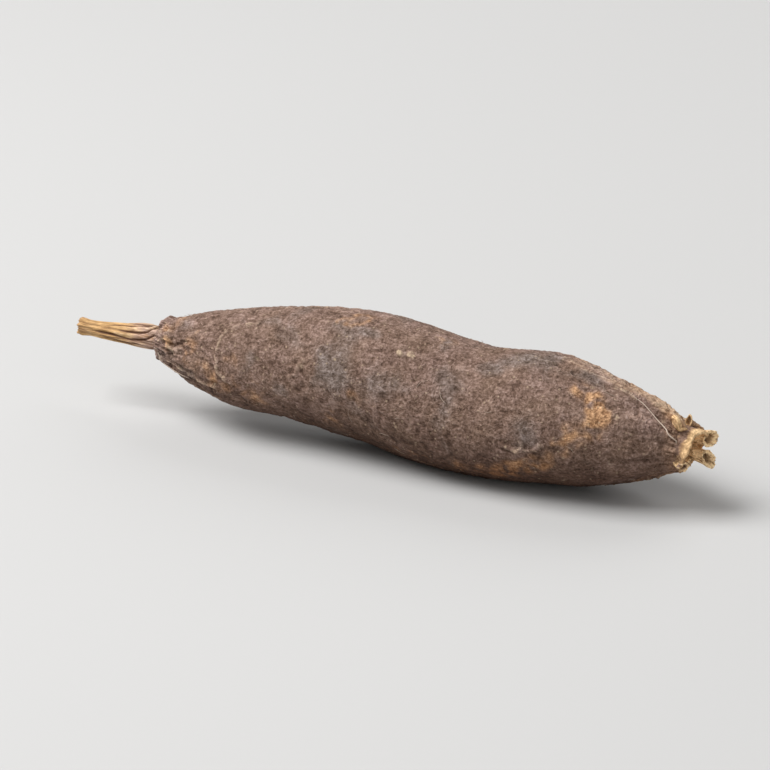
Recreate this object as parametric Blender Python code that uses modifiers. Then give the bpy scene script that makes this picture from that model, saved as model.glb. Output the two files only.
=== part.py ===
"""A dried peony root, lying on its side: a spindle-shaped tuber, the ribbed stub of its stalk at one
end, and the torn, hollow crown of old stem bases at the other.

Units are metres. The tuber is shaped in a frame of its own, with X along the root from the neck to
the crown, and is then rolled and set down so that it rests on a small flat spot at Z = 0. A place on
its skin is given by how far along it lies and by its turn round the root: 0 is the top as the
outline was read, and a quarter turn is the side that faces -Y.
"""
import itertools
import math

import bmesh
import bpy
import numpy as np
from mathutils import Matrix, Vector

MM = 0.001
GAP = 0.3 * MM
WELD_DISTANCE = 0.01 * MM
SHARP_ABOVE = math.radians(50)

# Size of the tuber from the neck to the crown's seat.
TUBER_LENGTH = 87.6 * MM
CROWN_SEAT = 86.9 * MM
END_ROUNDING = 1.0 * MM

# The outline: along the root, height of the middle line, half thickness, all in mm.
OUTLINE_MM = (
    (0.0, 3.3, 2.6),
    (3.0, 2.7, 3.5),
    (8.0, 2.3, 5.45),
    (14.0, 2.05, 7.3),
    (24.0, 3.05, 8.4),
    (36.0, 2.8, 9.65),
    (46.0, 1.45, 10.1),
    (56.0, 0.4, 9.85),
    (65.0, 0.95, 9.75),
    (74.0, 1.0, 8.45),
    (82.0, 1.1, 5.95),
    (85.5, 0.95, 4.35),
    (87.6, 0.55, 3.4),
)

# How the root lies: rolled about its length, and dropped until the belly is flat enough to rest on.
LIE_ROLL = math.radians(-24.6)
REST_ALONG = 51.8 * MM
REST_SIDE = 1.25 * MM
LIE_HEIGHT = 9.05 * MM
REST_BLOCK_SIZE = (200 * MM, 60 * MM, 20 * MM)

# The section across the root, and what drying did to it.
OVAL_SHARE = 0.02
OVAL_TURN = math.radians(65)
LUMP_SIZE = 13.0 * MM
LUMP_SHARE = 0.045
LUMP_SEED = 11
FOLDS_ROUND = 9
FOLD_DEPTH = 0.24 * MM
FOLD_WANDER = 0.7
FOLD_WAVE = 26.0 * MM
NECK_FOLD_REACH = 11.0 * MM
CROWN_FOLD_REACH = 9.0 * MM
PUCKERS_ROUND = 7
PUCKER_HEIGHT = 0.35 * MM
PUCKER_AT = 1.3 * MM
PUCKER_REACH = 1.1 * MM

# Single dents and swellings: along, turn in degrees, height in mm, reach along, reach round in degrees.
SWELLINGS = (
    (38.0 * MM, -150.0, 1.5, 14.0 * MM, 23.0),
    (80.5 * MM, 27.0, -0.45, 5.5 * MM, 15.0),
    (80.0 * MM, 50.0, 0.2, 7.0 * MM, 8.0),
    (30.0 * MM, -80.0, -0.35, 9.0 * MM, 30.0),
    (66.0 * MM, -110.0, 0.35, 8.0 * MM, 26.0),
    (20.0 * MM, 100.0, -0.2, 5.0 * MM, 22.0),
)
TUBER_SIDES = 56
TUBER_RINGS = 66

# The stalk stub: along the root (below 0 is outside the neck), height, shift across, radius, in mm.
STALK_STATIONS_MM = (
    (3.9, 2.75, 0.0, 1.25),
    (2.0, 2.8, 0.0, 1.5),
    (0.0, 2.85, 0.0, 1.7),
    (-1.6, 2.85, 0.0, 1.95),
    (-4.5, 2.75, 0.08, 1.65),
    (-8.5, 2.7, 0.15, 1.35),
    (-11.6, 2.85, 0.1, 1.2),
    (-13.0, 2.95, 0.05, 1.32),
)
STALK_RINGS = 22
STALK_RIBS = 9
STALK_RIB_DEPTH = 0.13
STALK_SIDES = 45
STALK_TWIST = math.radians(35)
STALK_FLATNESS = 0.9
STALK_FOOT_HEIGHT = 2.85 * MM
SOCKET_DEPTH = 4.3 * MM
SOCKET_BEYOND = 3.0 * MM
SOCKET_MOUTH = 2.02 * MM
SOCKET_END = 1.72 * MM
SOCKET_SIDES = 28

# The crown sits on the tuber's cut-off end, tipped a little down, and plugs into it.
CROWN_HEIGHT = 0.55 * MM
CROWN_TIP = math.radians(10)
CROWN_PLUG_DEPTH = 4.0 * MM
CROWN_PLUG = 1.9 * MM
CROWN_PLUG_END = 1.5 * MM
CROWN_PLUG_BEVEL = 0.4 * MM
CROWN_SIDES = 36
SEAT_REACH = 8.0 * MM

# Half section of the collar, radius and height in mm: pithy floor, flared lip, outer wall.
COLLAR_SECTION_MM = (
    (0.0, 1.0),
    (0.9, 0.85),
    (1.7, 0.95),
    (2.3, 1.3),
    (2.6, 1.65),
    (2.95, 1.95),
    (3.3, 2.05),
    (3.55, 1.85),
    (3.5, 1.35),
    (3.4, 0.85),
    (3.35, 0.3),
)
LIP_HEIGHT = 2.05 * MM
LIP_RADIUS = 3.3 * MM
LIP_FLARE_SHARE = 0.07
LIP_FLARE_TURN = math.radians(170)
LIP_WAVE = 0.32 * MM
LIP_WAVES = ((1, 0.0, 1.3), (3, 0.8, 1.0), (5, 0.0, 0.5))

# Stem bases on the crown: turn in degrees, distance from the crown's axis, where the foot sits,
# length, outer radius at the mouth, lean outwards in degrees, the share of the length by which one
# side is broken down, and that side's turn in degrees. Lengths are in mm.
STEM_BASES = (
    (-30.0, 2.55, 0.6, 3.15, 1.05, 8.0, 0.3, 95.0),
    (-100.0, 1.75, 0.65, 3.9, 1.25, 14.0, 0.4, 60.0),
    (138.0, 2.5, 0.85, 1.7, 0.85, 34.0, 0.1, 90.0),
    (-162.0, 2.3, 0.75, 1.6, 0.9, 15.0, 0.2, 0.0),
)
STEM_SIDES = 16
STEM_OVAL = 1.12

# Half section of a stem base, as shares of its mouth's radius and of its length.
STEM_SECTION = (
    (0.0, 0.45),
    (0.5, 0.5),
    (0.53, 0.85),
    (0.62, 1.0),
    (0.93, 1.0),
    (1.0, 0.93),
    (0.86, 0.6),
    (0.8, 0.0),
    (0.0, 0.0),
)

# Torn scales of skin on the shoulder above the crown.
BLISTER_AT = (85.9 * MM, math.radians(33))
BLISTER_SIZE = (1.35 * MM, 1.15 * MM, 0.75 * MM)
LOOP_AT = (86.0 * MM, math.radians(2))
LOOP_RADIUS = 0.85 * MM
LOOP_THICKNESS = 0.32 * MM
LOOP_RISE = 0.35 * MM
LOOP_SLANT = math.radians(20)

SKIN_COLOUR = (0.17, 0.115, 0.088, 1)
STRAW_COLOUR = (0.50, 0.32, 0.15, 1)
CROWN_COLOUR = (0.52, 0.35, 0.18, 1)


def clear_scene():
    for thing in list(bpy.data.objects):
        bpy.data.objects.remove(thing)


def make_collection(name):
    collection = bpy.data.collections.new(name)
    bpy.context.scene.collection.children.link(collection)
    return collection


def make_material(name, colour, roughness):
    material = bpy.data.materials.new(name)
    material.use_nodes = True
    shader = material.node_tree.nodes["Principled BSDF"]
    shader.inputs["Base Color"].default_value = colour
    shader.inputs["Roughness"].default_value = roughness
    shader.inputs["Metallic"].default_value = 0.0
    material.diffuse_color = colour
    return material


def smooth_through(stations, at):
    """Values on a smooth curve through stations (position, values...), read at the positions given."""
    table = np.array(stations, float)
    place, values = table[:, 0], table[:, 1:]
    if place[0] > place[-1]:
        place, values = place[::-1], values[::-1]
    slope = np.gradient(values, place, axis=0)
    at = np.clip(at, place[0], place[-1])
    span = np.clip(np.searchsorted(place, at, side="right") - 1, 0, len(place) - 2)
    width = (place[span + 1] - place[span])[:, None]
    s = (at - place[span])[:, None] / width
    return (
        values[span] * (2 * s**3 - 3 * s**2 + 1)
        + slope[span] * width * (s**3 - 2 * s**2 + s)
        + values[span + 1] * (3 * s**2 - 2 * s**3)
        + slope[span + 1] * width * (s**3 - s**2)
    )


def lumpy_field(points, seed):
    """A smooth random field of about -1 to 1, one lump to each whole-number cell."""
    cell = np.floor(points).astype(np.int64)
    inside = points - cell
    ease = inside**3 * (inside * (inside * 6 - 15) + 10)
    total = np.zeros(len(points))
    for corner in itertools.product((0, 1), repeat=3):
        at = cell + corner
        mixed = at[:, 0] * 73856093 ^ at[:, 1] * 19349663 ^ at[:, 2] * 83492791 ^ seed * 26544357
        mixed = (mixed ^ (mixed >> 13)) * 1274126177 & 0x7FFFFFFF
        value = (mixed ^ (mixed >> 15)) / 0x3FFFFFFF - 1
        total += value * np.where(corner, ease, 1 - ease).prod(axis=1)
    return total


def wrapped(angle):
    return (angle + math.pi) % (2 * math.pi) - math.pi


def bell(distance, reach):
    return np.exp(-((distance / reach) ** 2))


def tuber_skin(along, turn):
    """Points on the tuber, as an array of X, Y, Z.

    The radius at each place is the outline's half thickness, made slightly oval, rounded off at both
    ends, and then raised or sunk by lumps, by lengthwise folds that fade away from the two ends, by
    the puckers round the neck, and by the single swellings and dents.
    """
    middle, half = smooth_through(OUTLINE_MM, along / MM).T * MM
    from_end = np.clip(np.minimum(along, TUBER_LENGTH - along) / END_ROUNDING, 0, 1)
    rounding = np.sqrt(1 - (1 - from_end) ** 2)
    radius = half * (1 + OVAL_SHARE * np.cos(2 * (turn - OVAL_TURN)))

    towards_neck = bell(along, NECK_FOLD_REACH)
    towards_crown = bell(TUBER_LENGTH - along, CROWN_FOLD_REACH)
    wander = FOLD_WANDER * np.sin(2 * math.pi * along / FOLD_WAVE)
    folds = FOLD_DEPTH * np.cos(FOLDS_ROUND * turn + wander) * (towards_neck + towards_crown)
    puckers = PUCKER_HEIGHT * np.cos(PUCKERS_ROUND * turn + 1) * bell(along - PUCKER_AT, PUCKER_REACH)

    around = np.stack([along, -half * np.sin(turn), half * np.cos(turn)], axis=1)
    lumps = LUMP_SHARE * half * lumpy_field(around / LUMP_SIZE, LUMP_SEED)
    raised = folds + puckers + lumps
    for place, degrees, height, reach, width in SWELLINGS:
        away = wrapped(turn - math.radians(degrees))
        raised += height * MM * bell(along - place, reach) * bell(away, math.radians(width))

    radius = (radius + raised) * rounding
    return np.stack([along, -radius * np.sin(turn), middle + radius * np.cos(turn)], axis=1)


def linked(name, mesh, collection, material=None):
    thing = bpy.data.objects.new(name, mesh)
    collection.objects.link(thing)
    if material is not None:
        mesh.materials.clear()
        mesh.materials.append(material)
    return thing


def as_cutter(thing):
    thing.hide_render = True
    thing.display_type = "WIRE"
    return thing


def evaluated_mesh(thing):
    """The object's mesh as the viewport shows it, as a mesh of its own with its seams closed."""
    depsgraph = bpy.context.evaluated_depsgraph_get()
    mesh = bpy.data.meshes.new_from_object(thing.evaluated_get(depsgraph))
    work = bmesh.new()
    work.from_mesh(mesh)
    bmesh.ops.remove_doubles(work, verts=work.verts, dist=WELD_DISTANCE)
    bmesh.ops.recalc_face_normals(work, faces=work.faces)
    work.to_mesh(mesh)
    work.free()
    return mesh


def shape_points(mesh, shaper):
    """Moves every point of a mesh to where shaper, a function of an N by 3 array, puts it."""
    points = np.empty(len(mesh.vertices) * 3)
    mesh.vertices.foreach_get("co", points)
    mesh.vertices.foreach_set("co", shaper(points.reshape(-1, 3)).ravel())
    mesh.update()


def round_smooth(mesh):
    mesh.shade_smooth()
    mesh.set_sharp_from_angle(angle=SHARP_ABOVE)


def ball_mesh(name, sides, rings):
    work = bmesh.new()
    bmesh.ops.create_uvsphere(work, u_segments=sides, v_segments=rings, radius=1)
    mesh = bpy.data.meshes.new(name)
    work.to_mesh(mesh)
    work.free()
    return mesh


def turned_mesh(name, profile, sides):
    """A round solid turned about Z from a profile of (radius, height), run down its outer side."""
    mesh = bpy.data.meshes.new(name)
    points = [(radius, 0, height) for radius, height in profile]
    mesh.from_pydata(points, [(i, i + 1) for i in range(len(points) - 1)], [])
    blank = bpy.data.objects.new(name, mesh)
    bpy.context.scene.collection.objects.link(blank)
    screw = blank.modifiers.new("Turn", "SCREW")
    screw.steps = screw.render_steps = sides
    screw.use_merge_vertices = True
    screw.merge_threshold = WELD_DISTANCE
    turned = evaluated_mesh(blank)
    bpy.data.objects.remove(blank)
    return turned


def boolean(thing, operation, other):
    modifier = thing.modifiers.new(f"{operation.title()} {other.name}", "BOOLEAN")
    modifier.operation = operation
    modifier.solver = "EXACT"
    if isinstance(other, bpy.types.Collection):
        modifier.operand_type = "COLLECTION"
        modifier.collection = other
    else:
        modifier.object = other


def make_lie():
    """The empty that carries the root: it rolls it over and sets it down."""
    lie = bpy.data.objects.new("lie", None)
    bpy.context.scene.collection.objects.link(lie)
    lie.rotation_euler = (LIE_ROLL, 0, 0)
    lie.location = (-REST_ALONG, -REST_SIDE, LIE_HEIGHT)
    return lie


def skin_frame(along, turn):
    """A point of the skin, with a matrix whose Z points straight out of it and X along the root.

    The two directions come from small steps along the skin and round it.
    """
    step, small_turn = 0.5 * MM, math.radians(3)
    places = tuber_skin(np.array([along, along + step, along]), np.array([turn, turn, turn + small_turn]))
    point, ahead, aside = (Vector(p) for p in places)
    forward = (ahead - point).normalized()
    outward = (aside - point).cross(forward).normalized()
    side = outward.cross(forward)
    frame = Matrix((forward, side, outward)).transposed().to_4x4()
    frame.translation = point
    return frame


def make_tuber(parts, material):
    mesh = ball_mesh("tuber", TUBER_SIDES, TUBER_RINGS)

    def to_skin(points):
        along = TUBER_LENGTH * (1 + points[:, 2]) / 2
        return tuber_skin(along, np.arctan2(points[:, 1], points[:, 0]))

    shape_points(mesh, to_skin)
    round_smooth(mesh)
    return linked("tuber", mesh, parts, material)


def make_scales(collection, lie):
    """The torn scales on the shoulder: a blister of skin and a small standing loop, sunk in the tuber."""
    blister = linked("blister", ball_mesh("blister", 12, 8), collection)
    blister.data.transform(Matrix.Diagonal((*BLISTER_SIZE, 1)))
    blister.parent = lie
    blister.matrix_local = skin_frame(*BLISTER_AT)

    bpy.ops.mesh.primitive_torus_add(
        major_radius=LOOP_RADIUS, minor_radius=LOOP_THICKNESS, major_segments=14, minor_segments=8
    )
    loop = bpy.context.object
    loop.name = "loop"
    for home in list(loop.users_collection):
        home.objects.unlink(loop)
    collection.objects.link(loop)
    loop.parent = lie
    upright = Matrix.Rotation(math.pi / 2, 4, "X") @ Matrix.Rotation(LOOP_SLANT, 4, "Y")
    loop.matrix_local = skin_frame(*LOOP_AT) @ Matrix.Translation((0, 0, LOOP_RISE)) @ upright


def make_stalk_profile(collection):
    """The stub's ribbed section, of radius 1 mm, for the stalk's curve to sweep."""
    curve = bpy.data.curves.new("stalk_section", "CURVE")
    curve.dimensions = "2D"
    spline = curve.splines.new("POLY")
    spline.points.add(STALK_SIDES - 1)
    for i, point in enumerate(spline.points):
        angle = 2 * math.pi * i / STALK_SIDES
        reach = MM * (1 - STALK_RIB_DEPTH * (0.5 + 0.5 * math.cos(STALK_RIBS * angle)))
        point.co = (reach * math.cos(angle) * STALK_FLATNESS, reach * math.sin(angle), 0, 1)
    spline.use_cyclic_u = True
    return as_cutter(linked("stalk_section", curve, collection))


def make_stalk(parts, guides, material):
    """The stub is one ribbed section swept along a gently bent line, wide at the neck, worn thin, and
    a little splayed where it broke off."""
    curve = bpy.data.curves.new("stalk_stub", "CURVE")
    curve.dimensions = "3D"
    curve.bevel_mode = "OBJECT"
    curve.bevel_object = make_stalk_profile(guides)
    curve.use_fill_caps = True
    first, last = STALK_STATIONS_MM[0][0], STALK_STATIONS_MM[-1][0]
    at = np.linspace(first, last, STALK_RINGS)
    values = smooth_through(STALK_STATIONS_MM, at)
    spline = curve.splines.new("POLY")
    spline.points.add(STALK_RINGS - 1)
    for i, (point, along, (height, shift, radius)) in enumerate(zip(spline.points, at, values)):
        point.co = (along * MM, shift * MM, height * MM, 1)
        point.radius = radius
        point.tilt = STALK_TWIST * i / (STALK_RINGS - 1)
    swept = linked("stalk_sweep", curve, guides)
    stalk = linked("stalk_stub", evaluated_mesh(swept), parts, material)
    bpy.data.objects.remove(swept)
    round_smooth(stalk.data)
    return stalk


def make_stalk_socket(cutters):
    """A tapered hole for the stalk's foot, open to the outside."""
    mesh = bpy.data.meshes.new("stalk_socket")
    taper = (SOCKET_MOUTH - SOCKET_END) / SOCKET_DEPTH
    work = bmesh.new()
    bmesh.ops.create_cone(
        work,
        cap_ends=True,
        segments=SOCKET_SIDES,
        radius1=SOCKET_MOUTH + taper * SOCKET_BEYOND,
        radius2=SOCKET_END,
        depth=SOCKET_DEPTH + SOCKET_BEYOND,
    )
    work.to_mesh(mesh)
    work.free()
    socket = as_cutter(linked("stalk_socket", mesh, cutters))
    middle = Matrix.Translation(((SOCKET_DEPTH - SOCKET_BEYOND) / 2, 0, STALK_FOOT_HEIGHT))
    socket.matrix_local = middle @ Matrix.Rotation(math.pi / 2, 4, "Y")
    return socket


def crown_frame():
    """The crown's own frame: Z out of the crown, X up the root's side."""
    turn = Matrix.Rotation(math.pi / 2 + CROWN_TIP, 4, "Y") @ Matrix.Rotation(math.pi, 4, "Z")
    return Matrix.Translation((CROWN_SEAT, 0, CROWN_HEIGHT)) @ turn


def make_crown_seat(cutters):
    """What trims the tuber's end flat for the crown and opens the hole for its plug."""
    hole, floor = CROWN_PLUG + GAP, -CROWN_PLUG_DEPTH - GAP
    profile = ((0, SEAT_REACH), (SEAT_REACH, SEAT_REACH), (SEAT_REACH, 0))
    profile += ((hole, 0), (hole, floor), (0, floor))
    seat = as_cutter(linked("crown_seat", turned_mesh("crown_seat", profile, SOCKET_SIDES), cutters))
    seat.matrix_local = crown_frame()
    return seat


def collar_profile():
    """Half section of the collar with the plug that holds it in the tuber."""
    body = [(radius * MM, height * MM) for radius, height in COLLAR_SECTION_MM]
    plug = [(CROWN_PLUG, GAP), (CROWN_PLUG, CROWN_PLUG_BEVEL - CROWN_PLUG_DEPTH)]
    plug += [(CROWN_PLUG_END, -CROWN_PLUG_DEPTH), (0, -CROWN_PLUG_DEPTH)]
    return body + plug


def ruffle(points):
    """The higher and further out on the collar, the more it waves in height and flares to one side."""
    turn = np.arctan2(points[:, 1], points[:, 0])
    lift = np.clip(points[:, 2] / LIP_HEIGHT, 0, 1) ** 2
    out = np.clip(np.hypot(points[:, 0], points[:, 1]) / LIP_RADIUS, 0, 1) ** 2
    flare = 1 + LIP_FLARE_SHARE * lift * np.cos(turn - LIP_FLARE_TURN)
    wave = sum(share * np.cos(count * turn + phase) for count, phase, share in LIP_WAVES)
    height = points[:, 2] + LIP_WAVE * lift * out * wave
    return np.stack([points[:, 0] * flare, points[:, 1] * flare, height], axis=1)


def make_stem_base(name, turn, distance, foot, length, radius, lean, broken, broken_turn):
    """One broken stem base: a short hollow tube, closed at its foot, flared at its mouth, and lower on
    its broken side."""
    profile = [(radius * MM * r, (foot + length * z) * MM) for r, z in STEM_SECTION]
    mesh = turned_mesh(name, profile, STEM_SIDES)

    def break_off(points):
        angle = np.arctan2(points[:, 1], points[:, 0]) - math.radians(broken_turn - turn)
        share = (points[:, 2] / MM - foot) / length
        lost = broken * length * MM * share**3 * (0.5 + 0.5 * np.cos(angle))
        return points - np.stack([0 * lost, 0 * lost, lost], axis=1)

    shape_points(mesh, break_off)
    mesh.transform(Matrix.Diagonal((STEM_OVAL, 1 / STEM_OVAL, 1, 1)))
    tipped = Matrix.Rotation(math.radians(lean), 4, "Y")
    out = Matrix.Translation((distance * MM, 0, 0)) @ tipped
    mesh.transform(Matrix.Rotation(math.radians(turn), 4, "Z") @ out)
    return mesh


def make_crown(parts, material):
    """The collar with its stem bases joined on by one union."""
    collar = turned_mesh("torn_crown", collar_profile(), CROWN_SIDES)
    shape_points(collar, ruffle)
    crown = linked("torn_crown", collar, parts, material)
    bases = make_collection("stem_bases")
    for number, (degrees, *form) in enumerate(STEM_BASES):
        name = f"stem_base_{number}"
        linked(name, make_stem_base(name, degrees, *form), bases)
    boolean(crown, "UNION", bases)
    joined = evaluated_mesh(crown)
    crown.modifiers.clear()
    crown.data = joined
    joined.materials.clear()
    joined.materials.append(material)
    round_smooth(joined)
    for thing in list(bases.objects):
        bpy.data.objects.remove(thing)
    crown.matrix_local = crown_frame()
    return crown


def make_rest_plane(cutters):
    """A block whose top is the surface that the root lies on."""
    bpy.ops.mesh.primitive_cube_add(size=1)
    block = bpy.context.object
    block.name = "rest_plane"
    block.data.transform(Matrix.Diagonal((*REST_BLOCK_SIZE, 1)))
    block.location = (0, 0, -REST_BLOCK_SIZE[2] / 2)
    for home in list(block.users_collection):
        home.objects.unlink(block)
    cutters.objects.link(block)
    return as_cutter(block)


def main():
    clear_scene()
    parts = make_collection("peony_root")
    cutters = make_collection("cutters")
    guides = make_collection("guides")
    scales = make_collection("shoulder_scales")
    skin = make_material("root_skin", SKIN_COLOUR, 0.85)
    straw = make_material("stalk_straw", STRAW_COLOUR, 0.7)
    torn = make_material("crown_straw", CROWN_COLOUR, 0.75)

    lie = make_lie()
    tuber = make_tuber(parts, skin)
    stalk = make_stalk(parts, guides, straw)
    crown = make_crown(parts, torn)
    stalk_socket = make_stalk_socket(cutters)
    crown_seat = make_crown_seat(cutters)
    for thing in (tuber, stalk, crown, stalk_socket, crown_seat):
        thing.parent = lie
    make_scales(scales, lie)
    for thing in scales.objects:
        as_cutter(thing)

    boolean(tuber, "UNION", scales)
    boolean(tuber, "DIFFERENCE", stalk_socket)
    boolean(tuber, "DIFFERENCE", crown_seat)
    boolean(tuber, "DIFFERENCE", make_rest_plane(cutters))


main()
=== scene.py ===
"""The looks of a dried peony root: a felted brown tuber, the ribbed straw stub of its stalk at one
end, and the torn, hollow crown of old stem bases at the other.

Shapes are worked out in millimetres in the root's own frame: X along the root from the neck to the
crown, Z where the outline's top is, and -Y towards the lit side. A place on the skin is how far along
the root it lies and its turn round it: 0 is the top, and a quarter turn is the lit side. to_world rolls
the root over and sets it down where the solids lie.
"""
import itertools
import math

import bpy
import numpy as np
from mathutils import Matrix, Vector

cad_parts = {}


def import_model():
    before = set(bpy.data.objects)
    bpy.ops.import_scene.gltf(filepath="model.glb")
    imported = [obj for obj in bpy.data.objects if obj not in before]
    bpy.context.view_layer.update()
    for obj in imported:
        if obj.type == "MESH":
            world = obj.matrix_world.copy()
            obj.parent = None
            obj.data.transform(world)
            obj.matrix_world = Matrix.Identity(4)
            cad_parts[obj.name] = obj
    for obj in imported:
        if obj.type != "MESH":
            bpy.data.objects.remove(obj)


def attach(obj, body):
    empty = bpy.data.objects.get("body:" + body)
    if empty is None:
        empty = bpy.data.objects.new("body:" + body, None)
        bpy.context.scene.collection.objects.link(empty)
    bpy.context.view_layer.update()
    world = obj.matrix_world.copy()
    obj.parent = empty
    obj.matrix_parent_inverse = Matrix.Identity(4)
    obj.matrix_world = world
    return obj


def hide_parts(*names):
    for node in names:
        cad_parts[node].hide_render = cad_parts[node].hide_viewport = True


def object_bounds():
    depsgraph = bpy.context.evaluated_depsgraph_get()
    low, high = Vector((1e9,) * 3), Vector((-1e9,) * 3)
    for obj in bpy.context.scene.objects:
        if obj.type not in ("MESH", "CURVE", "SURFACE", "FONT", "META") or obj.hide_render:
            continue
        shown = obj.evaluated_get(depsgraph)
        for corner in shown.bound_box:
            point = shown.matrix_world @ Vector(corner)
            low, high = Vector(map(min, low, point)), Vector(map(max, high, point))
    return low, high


MM = 0.001

# The tuber's form, as the solids have it. Its outline is distance along the root, height of the middle
# line and half thickness.
TUBER_LENGTH = 87.6
CROWN_SEAT = 86.9
END_ROUNDING = 1.0
OUTLINE = (
    (0.0, 3.3, 2.6),
    (3.0, 2.7, 3.5),
    (8.0, 2.3, 5.45),
    (14.0, 2.05, 7.3),
    (24.0, 3.05, 8.4),
    (36.0, 2.8, 9.65),
    (46.0, 1.45, 10.1),
    (56.0, 0.4, 9.85),
    (65.0, 0.95, 9.75),
    (74.0, 1.0, 8.45),
    (82.0, 1.1, 5.95),
    (85.5, 0.95, 4.35),
    (87.6, 0.55, 3.4),
)
# How it lies: rolled about its length, with this place over the origin, and lifted by this height.
LIE_ROLL = math.radians(-24.6)
REST_ALONG, REST_SIDE, LIE_HEIGHT = 51.8, 1.25, 9.05
# Its section is slightly oval and lumpy, folded lengthwise near both ends and puckered round the neck.
OVAL_SHARE, OVAL_TURN = 0.02, math.radians(65)
LUMP_SIZE, LUMP_SHARE, LUMP_SEED = 13.0, 0.045, 11
FOLDS_ROUND, FOLD_DEPTH, FOLD_WANDER, FOLD_WAVE = 9, 0.24, 0.7, 26.0
NECK_FOLD_REACH, CROWN_FOLD_REACH = 11.0, 9.0
PUCKERS_ROUND, PUCKER_HEIGHT, PUCKER_AT, PUCKER_REACH = 7, 0.35, 1.3, 1.1
# Single swellings and dents: along, turn in degrees, height, reach along and width in degrees.
SWELLINGS = (
    (38.0, -150.0, 1.5, 14.0, 23.0),
    (80.5, 27.0, -0.45, 5.5, 15.0),
    (80.0, 50.0, 0.2, 7.0, 8.0),
    (30.0, -80.0, -0.35, 9.0, 30.0),
    (66.0, -110.0, 0.35, 8.0, 26.0),
    (20.0, 100.0, -0.2, 5.0, 22.0),
)

# The fine skin: how many rings and points round them, how much closer the rings stand at both ends,
# and where it turns in there.
SKIN_RINGS, SKIN_SIDES, SPACING_STEPS = 364, 252, 4000
NECK_CLOSER, CROWN_CLOSER, CLOSER_REACH = 1.3, 1.0, 6.0
NECK_RIM, THROAT_DEPTH, THROAT_RADIUS, THROAT_BULGE, THROAT_RINGS = 2.1, 3.3, 1.25, 1.15, 18
SEAT_RADIUS, SEAT_DEPTH, SEAT_BULGE, SEAT_RINGS = 2.75, 0.35, 0.55, 10
STALK_HEIGHT = 2.85

# How far the parts of the skin's relief stand up or sink.
FELT_HEIGHT, CRUMB_HEIGHT, PIT_DEPTH = 0.06, 0.08, 0.1
SWELL_HEIGHT, BUMP_HEIGHT = 0.13, 0.08
PLEAT_HEIGHT, FINE_PLEAT_HEIGHT = 0.16, 0.08
SHOULDER_LUMPS, SHOULDER_SUNK = 0.15, 0.75
RIM_LUMPS, RIM_CREASES = 0.22, 0.14

# Lines on the skin: (along, turn in degrees) points, then height, reach and paleness. The distance to a
# line is measured to straight steps between this many points on it.
LINE_POINTS = 16
RIDGES = (
    (
        ((19.8, 53), (16.7, 56), (14.6, 67), (14.1, 84), (14.2, 99), (14.9, 114), (16.9, 124)),
        0.28,
        0.27,
        0.6,
    ),
    (((62.5, 117), (64.5, 122), (66.6, 121), (68.4, 114)), 0.36, 0.3, 0.55),
    (((4.0, 70), (4.1, 90), (4.4, 102), (5.2, 106), (6.6, 98)), 0.36, 0.38, 0.85),
    (((2.6, 146), (5.6, 138), (9.1, 138), (14.0, 133)), 0.25, 0.35, 0.6),
    (((76.8, 37), (78.7, 39), (80.3, 44)), 0.2, 0.22, 0.8),
    (((80.5, 24), (82.6, 17), (84.6, 9), (86.0, 5)), 0.3, 0.3, 0.8),
    (((82.0, 35), (83.8, 29), (85.2, 24)), 0.3, 0.28, 0.8),
    (((72.0, 0), (77.0, 4), (81.0, 8), (84.5, 18)), 0.2, 0.25, 0.7),
    (((70.0, 12), (74.5, 15), (78.5, 19), (82.0, 28), (84.5, 36)), 0.2, 0.25, 0.7),
    (((15.0, 14), (22.0, 19), (30.0, 13), (38.0, 9)), 0.12, 0.35, 0.35),
    (((19.0, 2), (27.0, 6), (35.0, 1)), 0.1, 0.3, 0.3),
    # Its paleness is partly a painted highlight along the top.
    (((52.0, 3), (58.1, 14), (64.0, 30), (67.0, 32)), 0.1, 0.3, 0.35),
    (((5.0, 150), (9.0, 158), (14.0, 156)), 0.15, 0.35, 0.3),
    (((20.0, -60), (27.0, -72), (31.0, -95), (38.0, -101)), 0.2, 0.35, 0.4),
    (((58.0, -40), (64.0, -52), (66.0, -70)), 0.18, 0.3, 0.4),
    (((70.0, -120), (75.0, -112), (81.0, -118)), 0.2, 0.35, 0.35),
    (((40.0, 178), (47.0, 170), (52.0, 176)), 0.12, 0.3, 0.3),
)
# The edge of the ledge along the shoulder, the same way, and how high it stands.
LEDGE = ((64.0, 16), (69.9, 30), (74.2, 36), (78.2, 39), (81.5, 40), (85.5, 46))
LEDGE_HEIGHT = 0.24
# Single marks: along, turn in degrees, reach and strength.
OCHRE_MARKS = (
    (72.1, 56, 1.3, 0.58),
    (73.6, 57, 1.1, 0.75),
    (75.0, 65, 1.5, 0.9),
    (76.7, 77, 1.3, 1.1),
    (75.3, 83, 1.5, 0.75),
    (75.8, 91, 1.3, 0.3),
    (73.1, 100, 1.6, 0.22),
    (71.6, 98, 1.5, 0.22),
    (59.7, 153, 2.2, 0.8),
    (62.6, 147, 2.2, 0.8),
    (65.3, 142, 2.2, 0.7),
    (68.1, 134, 2.0, 0.6),
    (70.8, 122, 1.8, 0.35),
    (73.3, 112, 1.8, 0.3),
    (3.9, 88, 1.2, 1.0),
    (8.4, 103, 2.0, 0.4),
    (14.0, 128, 3.4, 0.5),
    (20.0, 138, 3.4, 0.5),
    (30.5, -120, 4.0, 0.6),
    (50.0, -75, 3.4, 0.5),
    (69.0, -64, 4.2, 0.7),
    (73.5, -150, 3.2, 0.6),
    (12.0, -100, 3.4, 0.5),
)
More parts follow.
